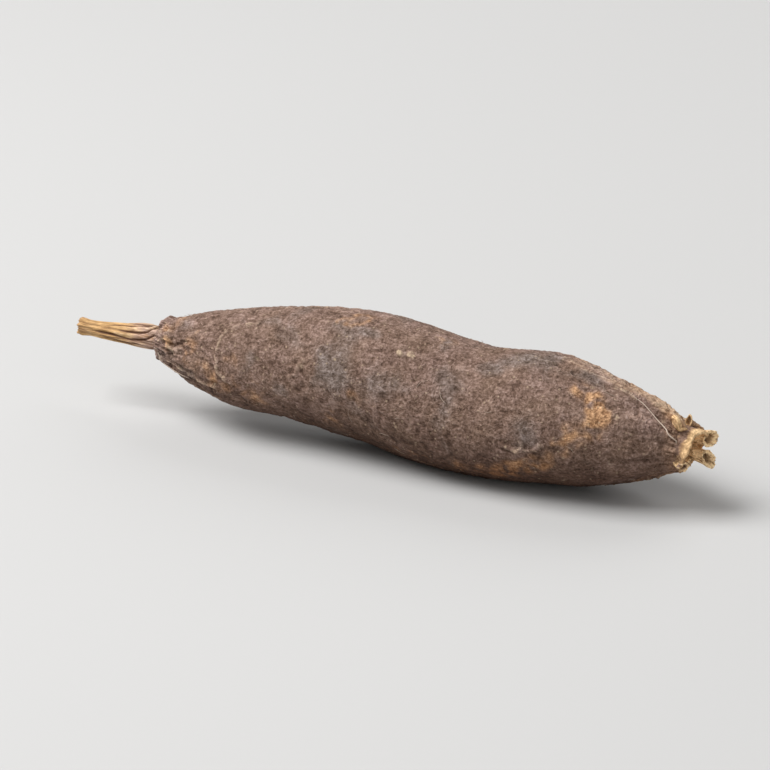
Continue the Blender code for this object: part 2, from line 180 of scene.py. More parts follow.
SLATE_MARKS = (
    (33.8, 86, 3.2, 0.7),
    (35.5, 54, 2.8, 0.7),
    (41.8, 91, 3.0, 0.7),
    (35.7, 103, 3.0, 0.6),
    (53.2, 75, 3.2, 0.7),
    (65.7, 101, 2.6, 0.6),
    (72.5, 31, 2.4, 0.5),
    (63.5, 32, 3.2, 0.9),
    (59.5, 38, 2.4, 0.5),
    (24.0, -35, 4.0, 0.7),
    (40.0, -130, 4.5, 0.7),
    (58.0, -100, 4.0, 0.8),
)
PALE_MARKS = (
    (44.0, 60, 0.42, 2.4),
    (44.6, 61, 0.3, 1.2),
    (45.7, 58, 0.45, 2.2),
    (46.2, 60, 0.3, 1.0),
    (47.8, 66, 0.35, 0.7),
    # A painted highlight on the top of the skin.
    (58.1, 14, 0.6, 0.7),
    (3.0, 90, 0.3, 1.0),
    (3.8, 84, 0.9, 0.4),
    (2.3, 97, 0.3, 0.9),
    (36.0, -44, 0.4, 1.0),
    (61.0, -88, 0.45, 1.0),
)
# Pit marks sink the skin, and their pits are painted darker as shade.
PIT_MARKS = (
    (86.6, 20, 0.4, 0.5),
    (85.9, 12, 0.3, 0.35),
    (70.4, 38, 0.34, 0.3),
    (67.4, 33, 0.3, 0.3),
    (63.3, 24, 0.25, 0.2),
    (16.9, 50, 0.3, 0.2),
    (4.9, 114, 0.55, 0.5),
    (3.4, 122, 0.35, 0.3),
    (7.0, 132, 0.4, 0.25),
    (51.0, 118, 0.25, 0.2),
    (33.0, -60, 0.3, 0.25),
    (62.0, -130, 0.3, 0.25),
)

# The stalk stub: along the root (below 0 is outside the neck), height, shift across, radius.
STALK_STATIONS = (
    (3.9, 2.75, 0.0, 1.25),
    (2.0, 2.8, 0.0, 1.65),
    (0.0, 2.85, 0.0, 1.95),
    (-1.6, 2.82, 0.0, 1.98),
    (-4.5, 2.65, 0.08, 1.68),
    (-8.5, 2.5, 0.15, 1.38),
    (-11.6, 2.5, 0.1, 1.2),
    (-13.0, 2.55, 0.05, 1.28),
)
# Its surface runs from the foot, inside the neck, to the tip, ribbed, twisted and a little flattened.
STALK_TIP, STALK_FOOT = -13.0, 3.4
STALK_RIBS, STALK_RIB_DEPTH, STALK_TWIST, STALK_FLATNESS = 9, 0.09, math.radians(35), 0.9
# Its deep grooves: (along, turn round the stub in degrees) points; 0 is the lit side, 90 is the top.
STALK_GROOVES = (
    ((-6.4, 12), (-3.4, 10), (-1.7, 9), (-0.6, 24), (0.4, 56)),
    ((-11.0, -18), (-7.6, -20), (-5.5, -30), (-3.8, -36), (-2.0, -28), (-0.4, -12), (1.0, 12)),
    ((-9.4, -58), (-6.7, -58), (-4.4, -70), (-2.2, -62), (-0.7, -72), (0.6, -88)),
    ((-9.0, 44), (-6.0, 50), (-3.0, 46), (-1.0, 58), (0.5, 84)),
    ((-9.0, 118), (-5.0, 126), (-2.0, 120), (0.6, 104)),
    ((-7.0, 176), (-3.5, 168), (-0.5, 182)),
    ((-10.0, -128), (-5.0, -120), (-1.0, -134)),
)
GROOVE_DEPTH, GROOVE_REACH = 0.34, 0.2
STALK_RINGS, TIP_RINGS, STALK_SIDES = 260, 40, 216

# The crown: where it sits, how far it tips down, and the collar's half section, (radius, height), from
# the wall's foot up over the lip and in along the floor.
CROWN_HEIGHT, CROWN_TIP = 0.55, math.radians(10)
COLLAR_SECTION = (
    (2.7, -0.8),
    (3.2, -0.55),
    (3.4, 0.0),
    (3.42, 0.6),
    (3.44, 1.2),
    (3.5, 1.75),
    (3.46, 2.1),
    (3.25, 2.2),
    (3.02, 2.0),
    (2.8, 1.65),
    (2.4, 1.35),
    (1.8, 1.15),
    (1.0, 1.05),
    (0.05, 1.1),
)
# Its lip: where it lies, how far it flares and to which side, and its waves, each by their number round
# it, phase and share of the height.
LIP_HEIGHT, LIP_RADIUS, LIP_FLARE_SHARE, LIP_FLARE_TURN = 2.05, 3.3, 0.07, math.radians(170)
LIP_WAVE, LIP_WAVES = 0.32, ((1, 0.0, 1.3), (3, 0.8, 0.8), (5, 0.0, 0.2))
# Where the lip is torn down to the floor, and where it is cream, and where its wall is darker.
GAP_TURN, GAP_WIDTH, GAP_DEPTH = math.radians(222), math.radians(46), 1.0
CREAM_TURN, CREAM_WIDTH = math.radians(38), math.radians(62)
DARK_WALL_TURN, DARK_WALL_WIDTH, DARK_WALL_HEIGHT = math.radians(136), math.radians(26), 1.0
COLLAR_RINGS, COLLAR_SIDES = 160, 320

# Stem bases: turn in degrees, distance from the crown's axis, where the foot sits, length, radius at
# the mouth, lean outwards in degrees, the share of the length by which one side is broken down, that
# side's turn in degrees, how narrow the break is, the share of the full bore, and how brown it is.
STEM_BASES = (
    (-30.0, 2.4, 0.6, 3.35, 1.2, 8.0, 0.48, 95.0, 1.0, 1.0, 0.1),
    (-100.0, 1.75, 0.65, 3.95, 1.32, 14.0, 0.55, 62.0, 1.25, 0.92, 0.35),
    (138.0, 2.6, 0.7, 1.5, 0.8, 22.0, 0.1, 90.0, 1.0, 1.0, 0.75),
    (-162.0, 2.1, 0.7, 0.8, 0.9, 15.0, 0.2, 0.0, 1.0, 1.0, 0.3),
)
# Their half section, as shares of the radius and the length: up the wall, over the mouth, down the bore.
STEM_SECTION = (
    (0.76, -0.12),
    (0.8, 0.1),
    (0.86, 0.6),
    (1.0, 0.93),
    (0.98, 0.99),
    (0.86, 1.01),
    (0.66, 0.96),
    (0.52, 0.82),
    (0.45, 0.45),
    (0.3, 0.26),
    (0.02, 0.3),
)
STEM_OVAL, STEM_RINGS, STEM_SIDES = 1.12, 90, 112

# Scraps on the shoulder above the crown. The curled scale: (along, turn, lift) on the skin, then (turn,
# distance, height) in the crown's frame, and its radius along it; the ear's place in the crown's frame,
# its half height and half width, and its half section from the middle of the front to the back; and
# the strand of skin beside it, as points in the crown's frame.
SCALE_ON_SKIN = ((85.7, 35, 0.2), (86.05, 41, 0.4), (86.45, 46, 0.42))
SCALE_ON_CROWN = ((50, 3.8, -0.25), (46, 3.8, 0.2), (41, 3.7, 0.75))
SCALE_RADII = ((0.0, 0.42), (0.2, 0.68), (0.45, 0.66), (0.65, 0.42), (0.85, 0.27), (1.0, 0.17))
SCALE_OPEN_TURN, SCALE_OPEN_WIDTH = math.radians(100), math.radians(38)
EAR_AT, EAR_SIZE = (math.radians(15), 4.12, 0.0), (0.95, 0.5)
EAR_SECTION = (
    (0.03, -0.16),
    (0.45, -0.14),
    (0.7, -0.02),
    (0.84, 0.14),
    (0.94, 0.16),
    (1.0, 0.04),
    (0.97, -0.12),
    (0.75, -0.28),
    (0.4, -0.36),
    (0.03, -0.38),
)
STRAND = ((3.75, 0.45, 0.1), (3.5, -0.15, 1.0), (3.2, -0.7, 1.8), (2.95, -1.3, 2.5))
SCALE_RINGS, SCALE_SIDES = 64, 56
EAR_RINGS, EAR_SIDES = 48, 72
STRAND_RINGS, STRAND_SIDES = 40, 24

# Shreds of pith in the hollow, strewn over its floor.
SHREDS, SHRED_POINTS, SHRED_SIDES, SHRED_SEED = 26, 9, 7, 7
SHRED_SPREAD, SHRED_FOOT = 2.3, 0.9

# Root hairs: the thread by the crown and the flat tag by the neck, as (along, turn in degrees) points on
# the skin, then the short ones, which are strewn.
THREAD = (
    (87.1, 85),
    (86.9, 80),
    (86.6, 79),
    (85.5, 69),
    (84.1, 60),
    (82.7, 52),
    (80.9, 45),
    (79.4, 42),
)
TAG = ((1.7, 120), (2.2, 140), (3.6, 154), (6.0, 150), (8.5, 144))
THREAD_POINTS, THREAD_SIDES, TAG_SIDES = 60, 8, 12
HAIRS, HAIR_BENDS, HAIR_POINTS, HAIR_SIDES, HAIR_SEED = 40, 5, 14, 6, 5

# Colours, in linear red, green and blue: of the skin, the stub's straw, the crown and the hairs.
WARM = (0.144, 0.086, 0.058)
PINK = (0.166, 0.101, 0.076)
SLATE = (0.126, 0.095, 0.079)
OCHRE = (0.355, 0.19, 0.095)
CREAM = (0.62, 0.47, 0.32)
DARK = (0.034, 0.020, 0.013)
# Painted shade: the colour that darkens and warms the skin low down, near the floor.
PAINTED_UNDERSIDE_SHADE = (0.34, 0.245, 0.18)
STRAW_PINK, STRAW_GOLD = (0.53, 0.36, 0.28), (0.63, 0.385, 0.165)
STRAW_PALE, STRAW_BROWN, STRAW_TIP = (0.80, 0.59, 0.36), (0.40, 0.21, 0.09), (0.45, 0.25, 0.11)
GROOVE_DARK, TIP_HOLLOW = (0.15, 0.07, 0.04), (0.15, 0.085, 0.04)
CROWN_TAN, CROWN_CREAM, CROWN_RIM = (0.49, 0.29, 0.145), (0.83, 0.56, 0.30), (0.97, 0.71, 0.41)
# CROWN_HOLLOW is a painted shade for the hollows, and also darkens patches of the collar's wall.
CROWN_SKIN, CROWN_HOLLOW, PITH_WEB = (0.27, 0.172, 0.13), (0.20, 0.105, 0.048), (0.66, 0.44, 0.25)
HAIR_DARK, HAIR_PALE = (0.17, 0.11, 0.075), (0.67, 0.54, 0.44)
# The gloss of every finish, and how deep its bumps are, in metres.
GLOSS = 0.25
SKIN_BUMP, STRAW_BUMP, CROWN_BUMP, HAIR_BUMP, FLOOR_BUMP = 0.0002, 0.00012, 0.00014, 0.00002, 0.00001

# The studio, in metres: the floor, the lamps by name, place, size and power in watts, the sky, and the
# camera, which stands off the front towards the crown and looks down.
FLOOR_REACH, FLOOR_DARK, FLOOR_PALE = 6.0, (0.50, 0.497, 0.492), (0.525, 0.522, 0.517)
LAMPS = (
    ("key", (-0.5, -0.22, 0.74), 0.6, 11.8),
    ("fill", (0.45, -0.45, 0.45), 0.6, 0.9),
    ("back", (0.1, 0.6, 0.5), 0.6, 2.0),
)
LAMPS_AIM = (0, 0, 0.01)
SKY_COLOUR, SKY_STRENGTH = (1.0, 0.99, 0.98, 1), 0.23
CAMERA_AZIMUTH, CAMERA_ELEVATION = math.radians(25.0), math.radians(22.5)
CAMERA_DISTANCE, CAMERA_LENS = 0.66, 206


def hashed(cell, seed):
    """A large whole number for each whole-number cell: products of its three coordinates, mixed."""
    mixed = cell[:, 0] * 73856093 ^ cell[:, 1] * 19349663 ^ cell[:, 2] * 83492791 ^ seed * 26544357
    mixed = (mixed ^ (mixed >> 13)) * 1274126177 & 0x7FFFFFFF
    return mixed ^ (mixed >> 15)


def eased(share):
    """A rise from 0 to 1, flat at both ends: 10 s cubed less 15 s to the fourth plus 6 s to the fifth."""
    return share**3 * (share * (share * 6 - 15) + 10)


def lumpy_field(points, seed):
    """A smooth random field of about -1 to 1: a random value at each cell's corners, eased between."""
    cell = np.floor(points).astype(np.int64)
    ease = eased(points - cell)
    total = np.zeros(len(points))
    for corner in itertools.product((0, 1), repeat=3):
        value = hashed(cell + corner, seed) / 0x3FFFFFFF - 1
        total += value * np.where(corner, ease, 1 - ease).prod(axis=1)
    return total


def three_shares(bits):
    """Three random numbers from 0 to 1, from the low, middle and high bits of a whole number."""
    return np.stack([bits & 1023, (bits >> 10) & 1023, (bits >> 20) & 1023], axis=1) / 1023


def noise(points, seed):
    """A smooth random field of about -1 to 1 whose waves fall between the cells' corners: 1.5 times a
    random slope at each corner times the way from it, eased between the corners."""
    cell = np.floor(points).astype(np.int64)
    inside = points - cell
    ease = eased(inside)
    total = np.zeros(len(points))
    for corner in itertools.product((0, 1), repeat=3):
        slope = three_shares(hashed(cell + corner, seed)) * 2 - 1
        weight = np.where(corner, ease, 1 - ease).prod(axis=1)
        total += weight * (slope * (inside - corner)).sum(axis=1)
    return total * 1.5


def creased(points, seed):
    """Noise folded at zero, so that it has sharp crests: 1 less 3.2 times its distance from zero."""
    return 1 - 3.2 * np.abs(noise(points, seed))


def grains(points, seed):
    """Distance to the nearest of the grains, one at random in each cell, and its luck, 0 to 1."""
    cell = np.floor(points).astype(np.int64)
    nearest = np.full(len(points), 9.0)
    luck = np.zeros(len(points))
    for step in itertools.product((-1, 0, 1), repeat=3):
        bits = hashed(cell + step, seed)
        distance = np.linalg.norm(cell + step + three_shares(bits) - points, axis=1)
        closer = distance < nearest
        nearest = np.where(closer, distance, nearest)
        luck = np.where(closer, (bits % 997) / 997, luck)
    return nearest, luck


def smooth_through(stations, at):
    """Values on a smooth curve through stations (position, values...), read at the positions given:
    a cubic between each two stations, whose slopes there come from the stations on both sides."""
    table = np.array(stations, float)
    place, values = table[:, 0], table[:, 1:]
    if place[0] > place[-1]:
        place, values = place[::-1], values[::-1]
    slope = np.gradient(values, place, axis=0)
    at = np.clip(at, place[0], place[-1])
    span = np.clip(np.searchsorted(place, at, side="right") - 1, 0, len(place) - 2)
    width = (place[span + 1] - place[span])[:, None]
    share = (at - place[span])[:, None] / width
    square, cube = share**2, share**3
    return (
        values[span] * (2 * cube - 3 * square + 1)
        + slope[span] * width * (cube - 2 * square + share)
        + values[span + 1] * (3 * square - 2 * cube)
        + slope[span + 1] * width * (cube - square)
    )


def along_line(points, count):
    """That many points evenly spread on a smooth curve through a few points of any dimension."""
    points = np.array(points, float)
    reach = np.concatenate([[0], np.cumsum(np.linalg.norm(np.diff(points, axis=0), axis=1))])
    return smooth_through(np.column_stack([reach, points]), np.linspace(0, reach[-1], count))


def wrapped(angle):
    """The same angle, brought within half a turn of 0."""
    return (angle + math.pi) % (2 * math.pi) - math.pi


def turns(count):
    """That many turns, evenly spread round a circle from 0."""
    return np.linspace(0, 2 * math.pi, count, endpoint=False)


def on_circle(turn, radius, height=0):
    """Points at a radius and height round the Z axis, for a shape or for noise that runs round a rim."""
    return np.stack([radius * np.cos(turn), radius * np.sin(turn), height + 0 * turn], axis=-1)


def on_tube(along, turn, radius):
    """Points along and round a tube about the X axis, for noise whose folds run lengthwise."""
    return np.stack(np.broadcast_arrays(along, radius * np.cos(turn), radius * np.sin(turn)), axis=-1)


def spun(first, second, turn):
    """Two coordinates turned about their origin, from the first's direction towards the second's."""
    cos, sin = math.cos(turn), math.sin(turn)
    return first * cos - second * sin, first * sin + second * cos


def bell(distance, reach):
    """1 at no distance and falling off on both sides: e to the minus square of distance over reach."""
    return np.exp(-((distance / reach) ** 2))


def ramp(value, low, high):
    """0 below low and 1 above high, with a smooth rise between: 3 s squared less 2 s cubed."""
    share = np.clip((value - low) / (high - low), 0, 1)
    return share * share * (3 - 2 * share)


def tuber_skin(along, turn):
    """The solid's skin: the outline's half thickness, made slightly oval and rounded off at both ends,
    raised or sunk by lumps, by lengthwise folds that fade away from the ends, by the puckers round the
    neck and by single swellings, and laid round the outline's middle line."""
    middle, half = smooth_through(OUTLINE, along).T
    from_end = np.clip(np.minimum(along, TUBER_LENGTH - along) / END_ROUNDING, 0, 1)
    radius = half * (1 + OVAL_SHARE * np.cos(2 * (turn - OVAL_TURN)))

    ends = bell(along, NECK_FOLD_REACH) + bell(TUBER_LENGTH - along, CROWN_FOLD_REACH)
    wander = FOLD_WANDER * np.sin(2 * math.pi * along / FOLD_WAVE)
    raised = FOLD_DEPTH * np.cos(FOLDS_ROUND * turn + wander) * ends
    raised += PUCKER_HEIGHT * np.cos(PUCKERS_ROUND * turn + 1) * bell(along - PUCKER_AT, PUCKER_REACH)
    around = np.stack([along, -half * np.sin(turn), half * np.cos(turn)], axis=1)
    raised += LUMP_SHARE * half * lumpy_field(around / LUMP_SIZE, LUMP_SEED)
    for place, degrees, height, reach, width in SWELLINGS:
        away = wrapped(turn - math.radians(degrees))
        raised += height * bell(along - place, reach) * bell(away, math.radians(width))

    radius = (radius + raised) * np.sqrt(1 - (1 - from_end) ** 2)
    return np.stack([along, -radius * np.sin(turn), middle + radius * np.cos(turn)], axis=1)


def lifted_spot(along, degrees, lift):
    """One point above the skin, straight out from it: along the cross product of two short steps on it."""
    turn = math.radians(degrees)
    places, angles = np.array([along, along + 0.1, along]), np.array([turn, turn, turn + 0.05])
    point, ahead, aside = tuber_skin(places, angles)
    outward = np.cross(aside - point, ahead - point)
    return point + outward * lift / np.linalg.norm(outward)


def on_skin(stations, count, lift):
    """A line of points above the skin: through (along, degrees) stations, at heights lift, one or many."""
    along, degrees = along_line(stations, count).T
    turn = np.radians(degrees)
    points = tuber_skin(along, turn)
    middle = smooth_through(OUTLINE, along)[:, 0]
    outward = points - np.stack([along, np.zeros(count), middle], axis=1)
    outward /= np.linalg.norm(outward, axis=1)[:, None]
    return points + outward * np.reshape(lift, (-1, 1))


def crown_to_root(points):
    """From the crown's own frame (X up, Y to the lit side, Z out of the crown) to the root's."""
    up = np.array([math.sin(CROWN_TIP), 0, math.cos(CROWN_TIP)])
    out = np.array([math.cos(CROWN_TIP), 0, -math.sin(CROWN_TIP)])
    lit = np.array([0, -1, 0])
    seat = np.array([CROWN_SEAT, 0, CROWN_HEIGHT])
    return seat + points[..., :1] * up + points[..., 1:2] * lit + points[..., 2:] * out


def to_world(points):
    """Rolls points about the root's length and sets them down where the solids lie, in metres."""
    x, y, z = points[..., 0], points[..., 1], points[..., 2]
    rolled = np.stack([x, *spun(y, z, LIE_ROLL)], axis=-1)
    return (rolled + (-REST_ALONG, -REST_SIDE, LIE_HEIGHT)) * MM


def ring_normals(rings):
    """Unit normals of a surface made of closed rings: the cross product of its steps round and along."""
    around = np.roll(rings, -1, axis=1) - np.roll(rings, 1, axis=1)
    normals = np.cross(around, np.gradient(rings, axis=0))
    return normals / np.maximum(np.linalg.norm(normals, axis=2, keepdims=True), 1e-9)


def ring_faces(rows, columns, start=0):
    """Four-sided faces between rings of points, and the triangles that close both ends on two middle
    points, which come after the rings."""
    index = start + np.arange(rows * columns).reshape(rows, columns)
    beside = np.roll(index, -1, axis=1)
    walls = np.stack([index[:-1], beside[:-1], beside[1:], index[1:]], axis=-1).reshape(-1, 4)
    first, last = start + rows * columns, start + rows * columns + 1
    near = np.stack([beside[0], index[0], np.full(columns, first)], axis=-1)
    far = np.stack([index[-1], beside[-1], np.full(columns, last)], axis=-1)
    return walls.tolist() + near.tolist() + far.tolist()


def make_piece(name, ring_sets, material):
    """One closed piece from sets of rings. A set is its points (rings, sides, 3) in the root's frame,
    and its shades, a name and a value (rings, sides) for each number that the material reads."""
    points, faces, shades = [], [], {}
    for rings, values in ring_sets:
        rows, columns = rings.shape[:2]
        solid = to_world(np.concatenate([rings.reshape(-1, 3), [rings[0].mean(0), rings[-1].mean(0)]]))
        faces += ring_faces(rows, columns, sum(map(len, points)))
        points.append(solid)
        for shade, value in values.items():
            value = np.broadcast_to(value, (rows, columns))
            whole = np.concatenate([value.ravel(), [value[0].mean(), value[-1].mean()]])
            shades.setdefault(shade, []).append(whole)
    mesh = bpy.data.meshes.new(name)
    mesh.from_pydata(np.concatenate(points).tolist(), [], faces)
    for shade, values in shades.items():
        layer = mesh.attributes.new(shade, "FLOAT", "POINT")
        layer.data.foreach_set("value", np.concatenate(values).astype(np.float32))
    mesh.materials.append(material)
    mesh.shade_smooth()
    piece = bpy.data.objects.new(name, mesh)
    bpy.context.scene.collection.objects.link(piece)
    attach(piece, "root")
    return piece


def skin_rings():
    """The skin as rings: out of the throat round the stalk, over the neck's rim, along the root, and in
    over its edge at the crown. The rings stand closer at both ends, the rim reaches unevenly far over
    the stalk, and the last rings tip with the crown."""
    fine = np.linspace(NECK_RIM, CROWN_SEAT, SPACING_STEPS)
    closeness = 1 + NECK_CLOSER * bell(fine, CLOSER_REACH)
    closeness += CROWN_CLOSER * bell(CROWN_SEAT - fine, CLOSER_REACH)
    share = np.cumsum(closeness) / closeness.sum()
    places = np.interp(np.linspace(share[0], 1, SKIN_RINGS), share, fine)
    round_it = turns(SKIN_SIDES)
    along, turn = np.meshgrid(places, round_it, indexing="ij")
    seat_radius = smooth_through(OUTLINE, np.array([CROWN_SEAT]))[0, 1]
    along = along + math.tan(CROWN_TIP) * seat_radius * np.cos(turn) * ramp(along, 78, CROWN_SEAT)
    open_skin = tuber_skin(along.ravel(), turn.ravel()).reshape(SKIN_RINGS, SKIN_SIDES, 3)
    circle = on_circle(round_it, 1)
    uneven = 0.45 * noise(circle * 1.9 + 3, 36) + 0.25 * noise(circle * 4.3, 37)
    open_skin[..., 0] += uneven * bell(along - NECK_RIM, 2.6)

    share = np.linspace(0, 1, THROAT_RINGS, endpoint=False)[:, None, None]
    inner = np.stack([0 * round_it, -np.sin(round_it), np.cos(round_it)], axis=1) * THROAT_RADIUS
    inner += (THROAT_DEPTH, 0, STALK_HEIGHT)
    throat = inner + (open_skin[0] - inner) * ramp(share, 0, 1)
    throat[..., 0] = inner[:, 0] + (open_skin[0, :, 0] - inner[:, 0]) * share[..., 0]
    throat[..., 0] -= 4 * (share * (1 - share))[..., 0] * THROAT_BULGE

    share = np.linspace(0, 1, SEAT_RINGS + 1)[1:, None, None]
    seat = crown_to_root(circle * SEAT_RADIUS - (0, 0, SEAT_DEPTH))
    edge = open_skin[-1] + (seat - open_skin[-1]) * ramp(share, 0, 1)
    edge[..., 0] += 4 * (share * (1 - share))[..., 0] * SEAT_BULGE
    rings = np.concatenate([throat, open_skin, edge])
    return rings, np.broadcast_to(round_it, rings.shape[:2])


def line_distance(along, turn, line):
    """How far each place is from a line on the skin, in mm, with the skin unrolled at each place's own
    radius: the least distance to any of the line's straight steps."""
    radius = smooth_through(OUTLINE, along)[:, 1]
    steps = along_line(line, LINE_POINTS)
    across = [wrapped(math.radians(degrees) - turn) * radius for degrees in steps[:, 1]]
    ahead = [place - along for place in steps[:, 0]]
    nearest = np.full(len(along), 99.0)
    for x, y, next_x, next_y in zip(ahead, across, ahead[1:], across[1:]):
        step_x, step_y = next_x - x, next_y - y
        share = np.clip(-(x * step_x + y * step_y) / (step_x**2 + step_y**2 + 1e-9), 0, 1)
        nearest = np.minimum(nearest, np.hypot(x + share * step_x, y + share * step_y))
    return nearest


def marked(along, turn, marks):
    """The sum of soft round marks, each of a reach in mm and a strength, at its place on the skin."""
    radius = smooth_through(OUTLINE, along)[:, 1]
    total = np.zeros(len(along))
    for place, degrees, reach, strength in marks:
        distance = np.hypot(along - place, wrapped(turn - math.radians(degrees)) * radius)
        total += strength * bell(distance, reach)
    return total


def shoulder_forms(points, turn, radius):
    """The shoulder above the crown, as a share from 0 to 1 of being on it; how far its ledge stands up,
    with a groove below the edge; and how far its top is sunk."""
    along = points[:, 0]
    ledge_turn = np.radians(np.interp(along, *np.array(LEDGE).T))
    above = wrapped(ledge_turn - turn) * radius + 0.3 * noise(points / 1.6, 30)
    reach = ramp(along, 63, 70)
    shoulder = ramp(above, -0.2, 0.5) * (1 - ramp(above, 4.5, 8.5)) * reach
    ledge = LEDGE_HEIGHT * shoulder - 0.12 * bell(above + 0.4, 0.4) * reach
    sunk = SHOULDER_SUNK * ramp(above, 1.0, 3.5) * (1 - ramp(above, 6, 10)) * bell(along - 82, 9.5)
    return shoulder, ledge, sunk


def ridge_lines(points, turn):
    """How far the single ridges stand up, each a bell across its line with a lower groove on both sides,
    and how pale they are. Noise makes both patchy."""
    along = points[:, 0]
    stands, pale = np.zeros(len(along)), np.zeros(len(along))
    patchy = ramp(noise(points / 1.0, 38), -0.5, 0.35)
    stray = 0.25 * noise(points / 1.2, 32)
    for line, height, width, paleness in RIDGES:
        away = line_distance(along, turn, line) + stray
        stands += height * bell(away, width) * (0.4 + 0.6 * patchy)
        stands -= 0.5 * height * bell(away - 2.1 * width, 0.8 * width)
        pale = np.maximum(pale, paleness * bell(away, 1.2 * width) * (0.1 + 0.9 * patchy))
    return stands, pale


def skin_relief(points, turn):
    """How far the fine skin stands above the solid's, in mm, and the shades that its colours follow.

    The height is felt (two sizes of creased noise, bent by a slower one), soft bumps, raised grains and
    small pits, wrinkles that run lengthwise and draw together at both ends and on the shoulder above the
    crown, the ledge that bounds this shoulder, lumps on it near the crown, where its top is sunk a
    little, the single ridges with a groove on both sides, and the lumps of the torn rim.
    """
    along = points[:, 0]
    radius = smooth_through(OUTLINE, along)[:, 1]
    bend = np.stack([noise(points / 2.1, seed) for seed in (1, 2, 3)], axis=1)
    bent = points + 0.6 * bend
    felt = FELT_HEIGHT * creased(bent / 1.7, 21) + FELT_HEIGHT * creased(bent / 0.95, 22)
    soft = SWELL_HEIGHT * noise(points / 7.0, 23) + BUMP_HEIGHT * noise(bent / 3.2, 24)
    distance, luck = grains(bent / 0.9, 25)
    crumbs = CRUMB_HEIGHT * luck**2 * bell(distance, 0.36)
    distance, luck = grains(points / 1.25, 26)
    pits = -PIT_DEPTH * ramp(luck, 0.66, 0.95) * bell(distance, 0.24)

    neck = bell(along, 10)
    crown = bell(TUBER_LENGTH - along, 10)
    shoulder, ledge, sunk = shoulder_forms(points, turn, radius)
    lean = 0.5 * noise(points / 5.0, 31)
    drawn = np.stack([along / 8.0, 7.5 * np.sin(turn) + lean, 7.5 * np.cos(turn) + lean], axis=1)
    pleats = PLEAT_HEIGHT * creased(drawn, 27) + FINE_PLEAT_HEIGHT * creased(drawn * (1.6, 2.1, 2.1), 28)
    pleats *= np.clip(1.1 * neck + 0.6 * crown + shoulder, 0, 1.4)
    lumps = SHOULDER_LUMPS * shoulder * bell(along - 84.0, 3.5) * creased(points / 1.2, 29)

    lines, pale = ridge_lines(points, turn)
    # The pale marks are pale flecks, and one painted highlight on the top.
    flecks_and_highlight = marked(along, turn, PALE_MARKS)
    holes = -marked(along, turn, PIT_MARKS) * 1.5

    rim = bell(along - NECK_RIM, 1.3)
    torn = rim * (RIM_LUMPS * noise(points / 1.7, 33) + RIM_CREASES * creased(points / 1.2, 34))
    torn += bell(along - CROWN_SEAT, 1.2) * 0.15 * noise(points / 1.0, 35)
    grain = felt + crumbs + pits
    height = grain + soft + pleats + lumps + lines + holes + torn + ledge - sunk + 0.15 * flecks_and_highlight

    wide = noise(points / 5.5, 41)
    slate = ramp(noise(bent / 4.2, 42) + 0.35 * wide, 0.0, 0.8) * 0.6 + marked(along, turn, SLATE_MARKS)
    ochre = 0.5 * ramp(noise(bent / 6.5, 43), 0.1, 0.65) + marked(along, turn, OCHRE_MARKS)
    ochre *= 0.8 + 1.2 * noise(bent / 1.4, 44)
    ochre += 0.1 * neck * (1 - rim) + 0.2 * crown + 0.3 * shoulder + 0.15 * bell(along - CROWN_SEAT, 1.8)
    scraps, luck = grains(bent / 2.2, 45)
    pale = np.maximum(pale, ramp(luck, 0.93, 0.99) * bell(scraps, 0.17))
    raised = shoulder * ramp(pleats + lumps + felt, 0.02, 0.24)
    pale = np.maximum(pale, raised * (0.45 + 0.4 * bell(along - 85, 3)))
    pale = np.maximum(pale, 0.4 * rim * ramp(torn, 0.05, 0.3))
    pale = np.maximum(pale, flecks_and_highlight * (0.6 + 0.9 * noise(points / 0.5, 47)))
    # Raised places are painted lighter and sunk ones darker: the skin's own grain, and painted shade of its
    # pleats, ridges, lumps and ledge.
    stands = grain + 0.8 * pleats + 0.5 * lumps + 0.6 * lines + 0.6 * torn + 0.3 * ledge
    stands += 0.03 * crown - 0.05 * neck
    shades = {
        "grain": np.clip(0.5 + stands / 0.4, 0.15, 1),
        "slate": np.clip(slate, 0, 1),
        "ochre": np.clip(ochre, 0, 1),
        "pale": np.clip(pale, 0, 1),
        "pink": np.clip(0.5 + 0.7 * noise(bent / 4.0, 46) + 0.8 * rim, 0, 1),
        # Painted shade: pits, pit marks and the troughs of the pleats are darkened.
        "hollow": np.clip(-(holes + 0.5 * pits + 0.4 * np.minimum(pleats, 0)) / 0.2, 0, 1),
    }
    return height, shades


def make_skin(material):
    """The skin's rings, moved out or in along their normals by the relief. What would sink under the
    surface it lies on is pressed flat."""
    rings, turn = skin_rings()
    height, shades = skin_relief(rings.reshape(-1, 3), turn.ravel())
    rings = rings + ring_normals(rings) * height.reshape(rings.shape[:2] + (1,))
    sin, cos = math.sin(LIE_ROLL), math.cos(LIE_ROLL)
    world_z = rings[..., 1] * sin + rings[..., 2] * cos + LIE_HEIGHT
    sunk = np.minimum(world_z, 0)
    rings[..., 1] -= sunk * sin
    rings[..., 2] -= sunk * cos
    shades = {name: value.reshape(rings.shape[:2]) for name, value in shades.items()}
    piece = make_piece("tuber_skin", [(rings, shades)], material)
    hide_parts("tuber")
    return piece


def stalk_grooves(outer, turned, radius, uneven):
    """How deep each place on the stub lies in its deep grooves, 0 to 1: a bell across each groove's line,
    which starts gently at the end by the tip."""
    grooves = np.zeros(turned.shape)
    for line in STALK_GROOVES:
        middle = np.radians(smooth_through(line, outer))
        away = wrapped(turned - middle) * radius[:, None] + 0.15 * uneven
        start = ramp(outer, line[0][0] - 0.5, line[0][0] + 3.0)[:, None]
        grooves = np.maximum(grooves, start * bell(away, GROOVE_REACH))
    return grooves


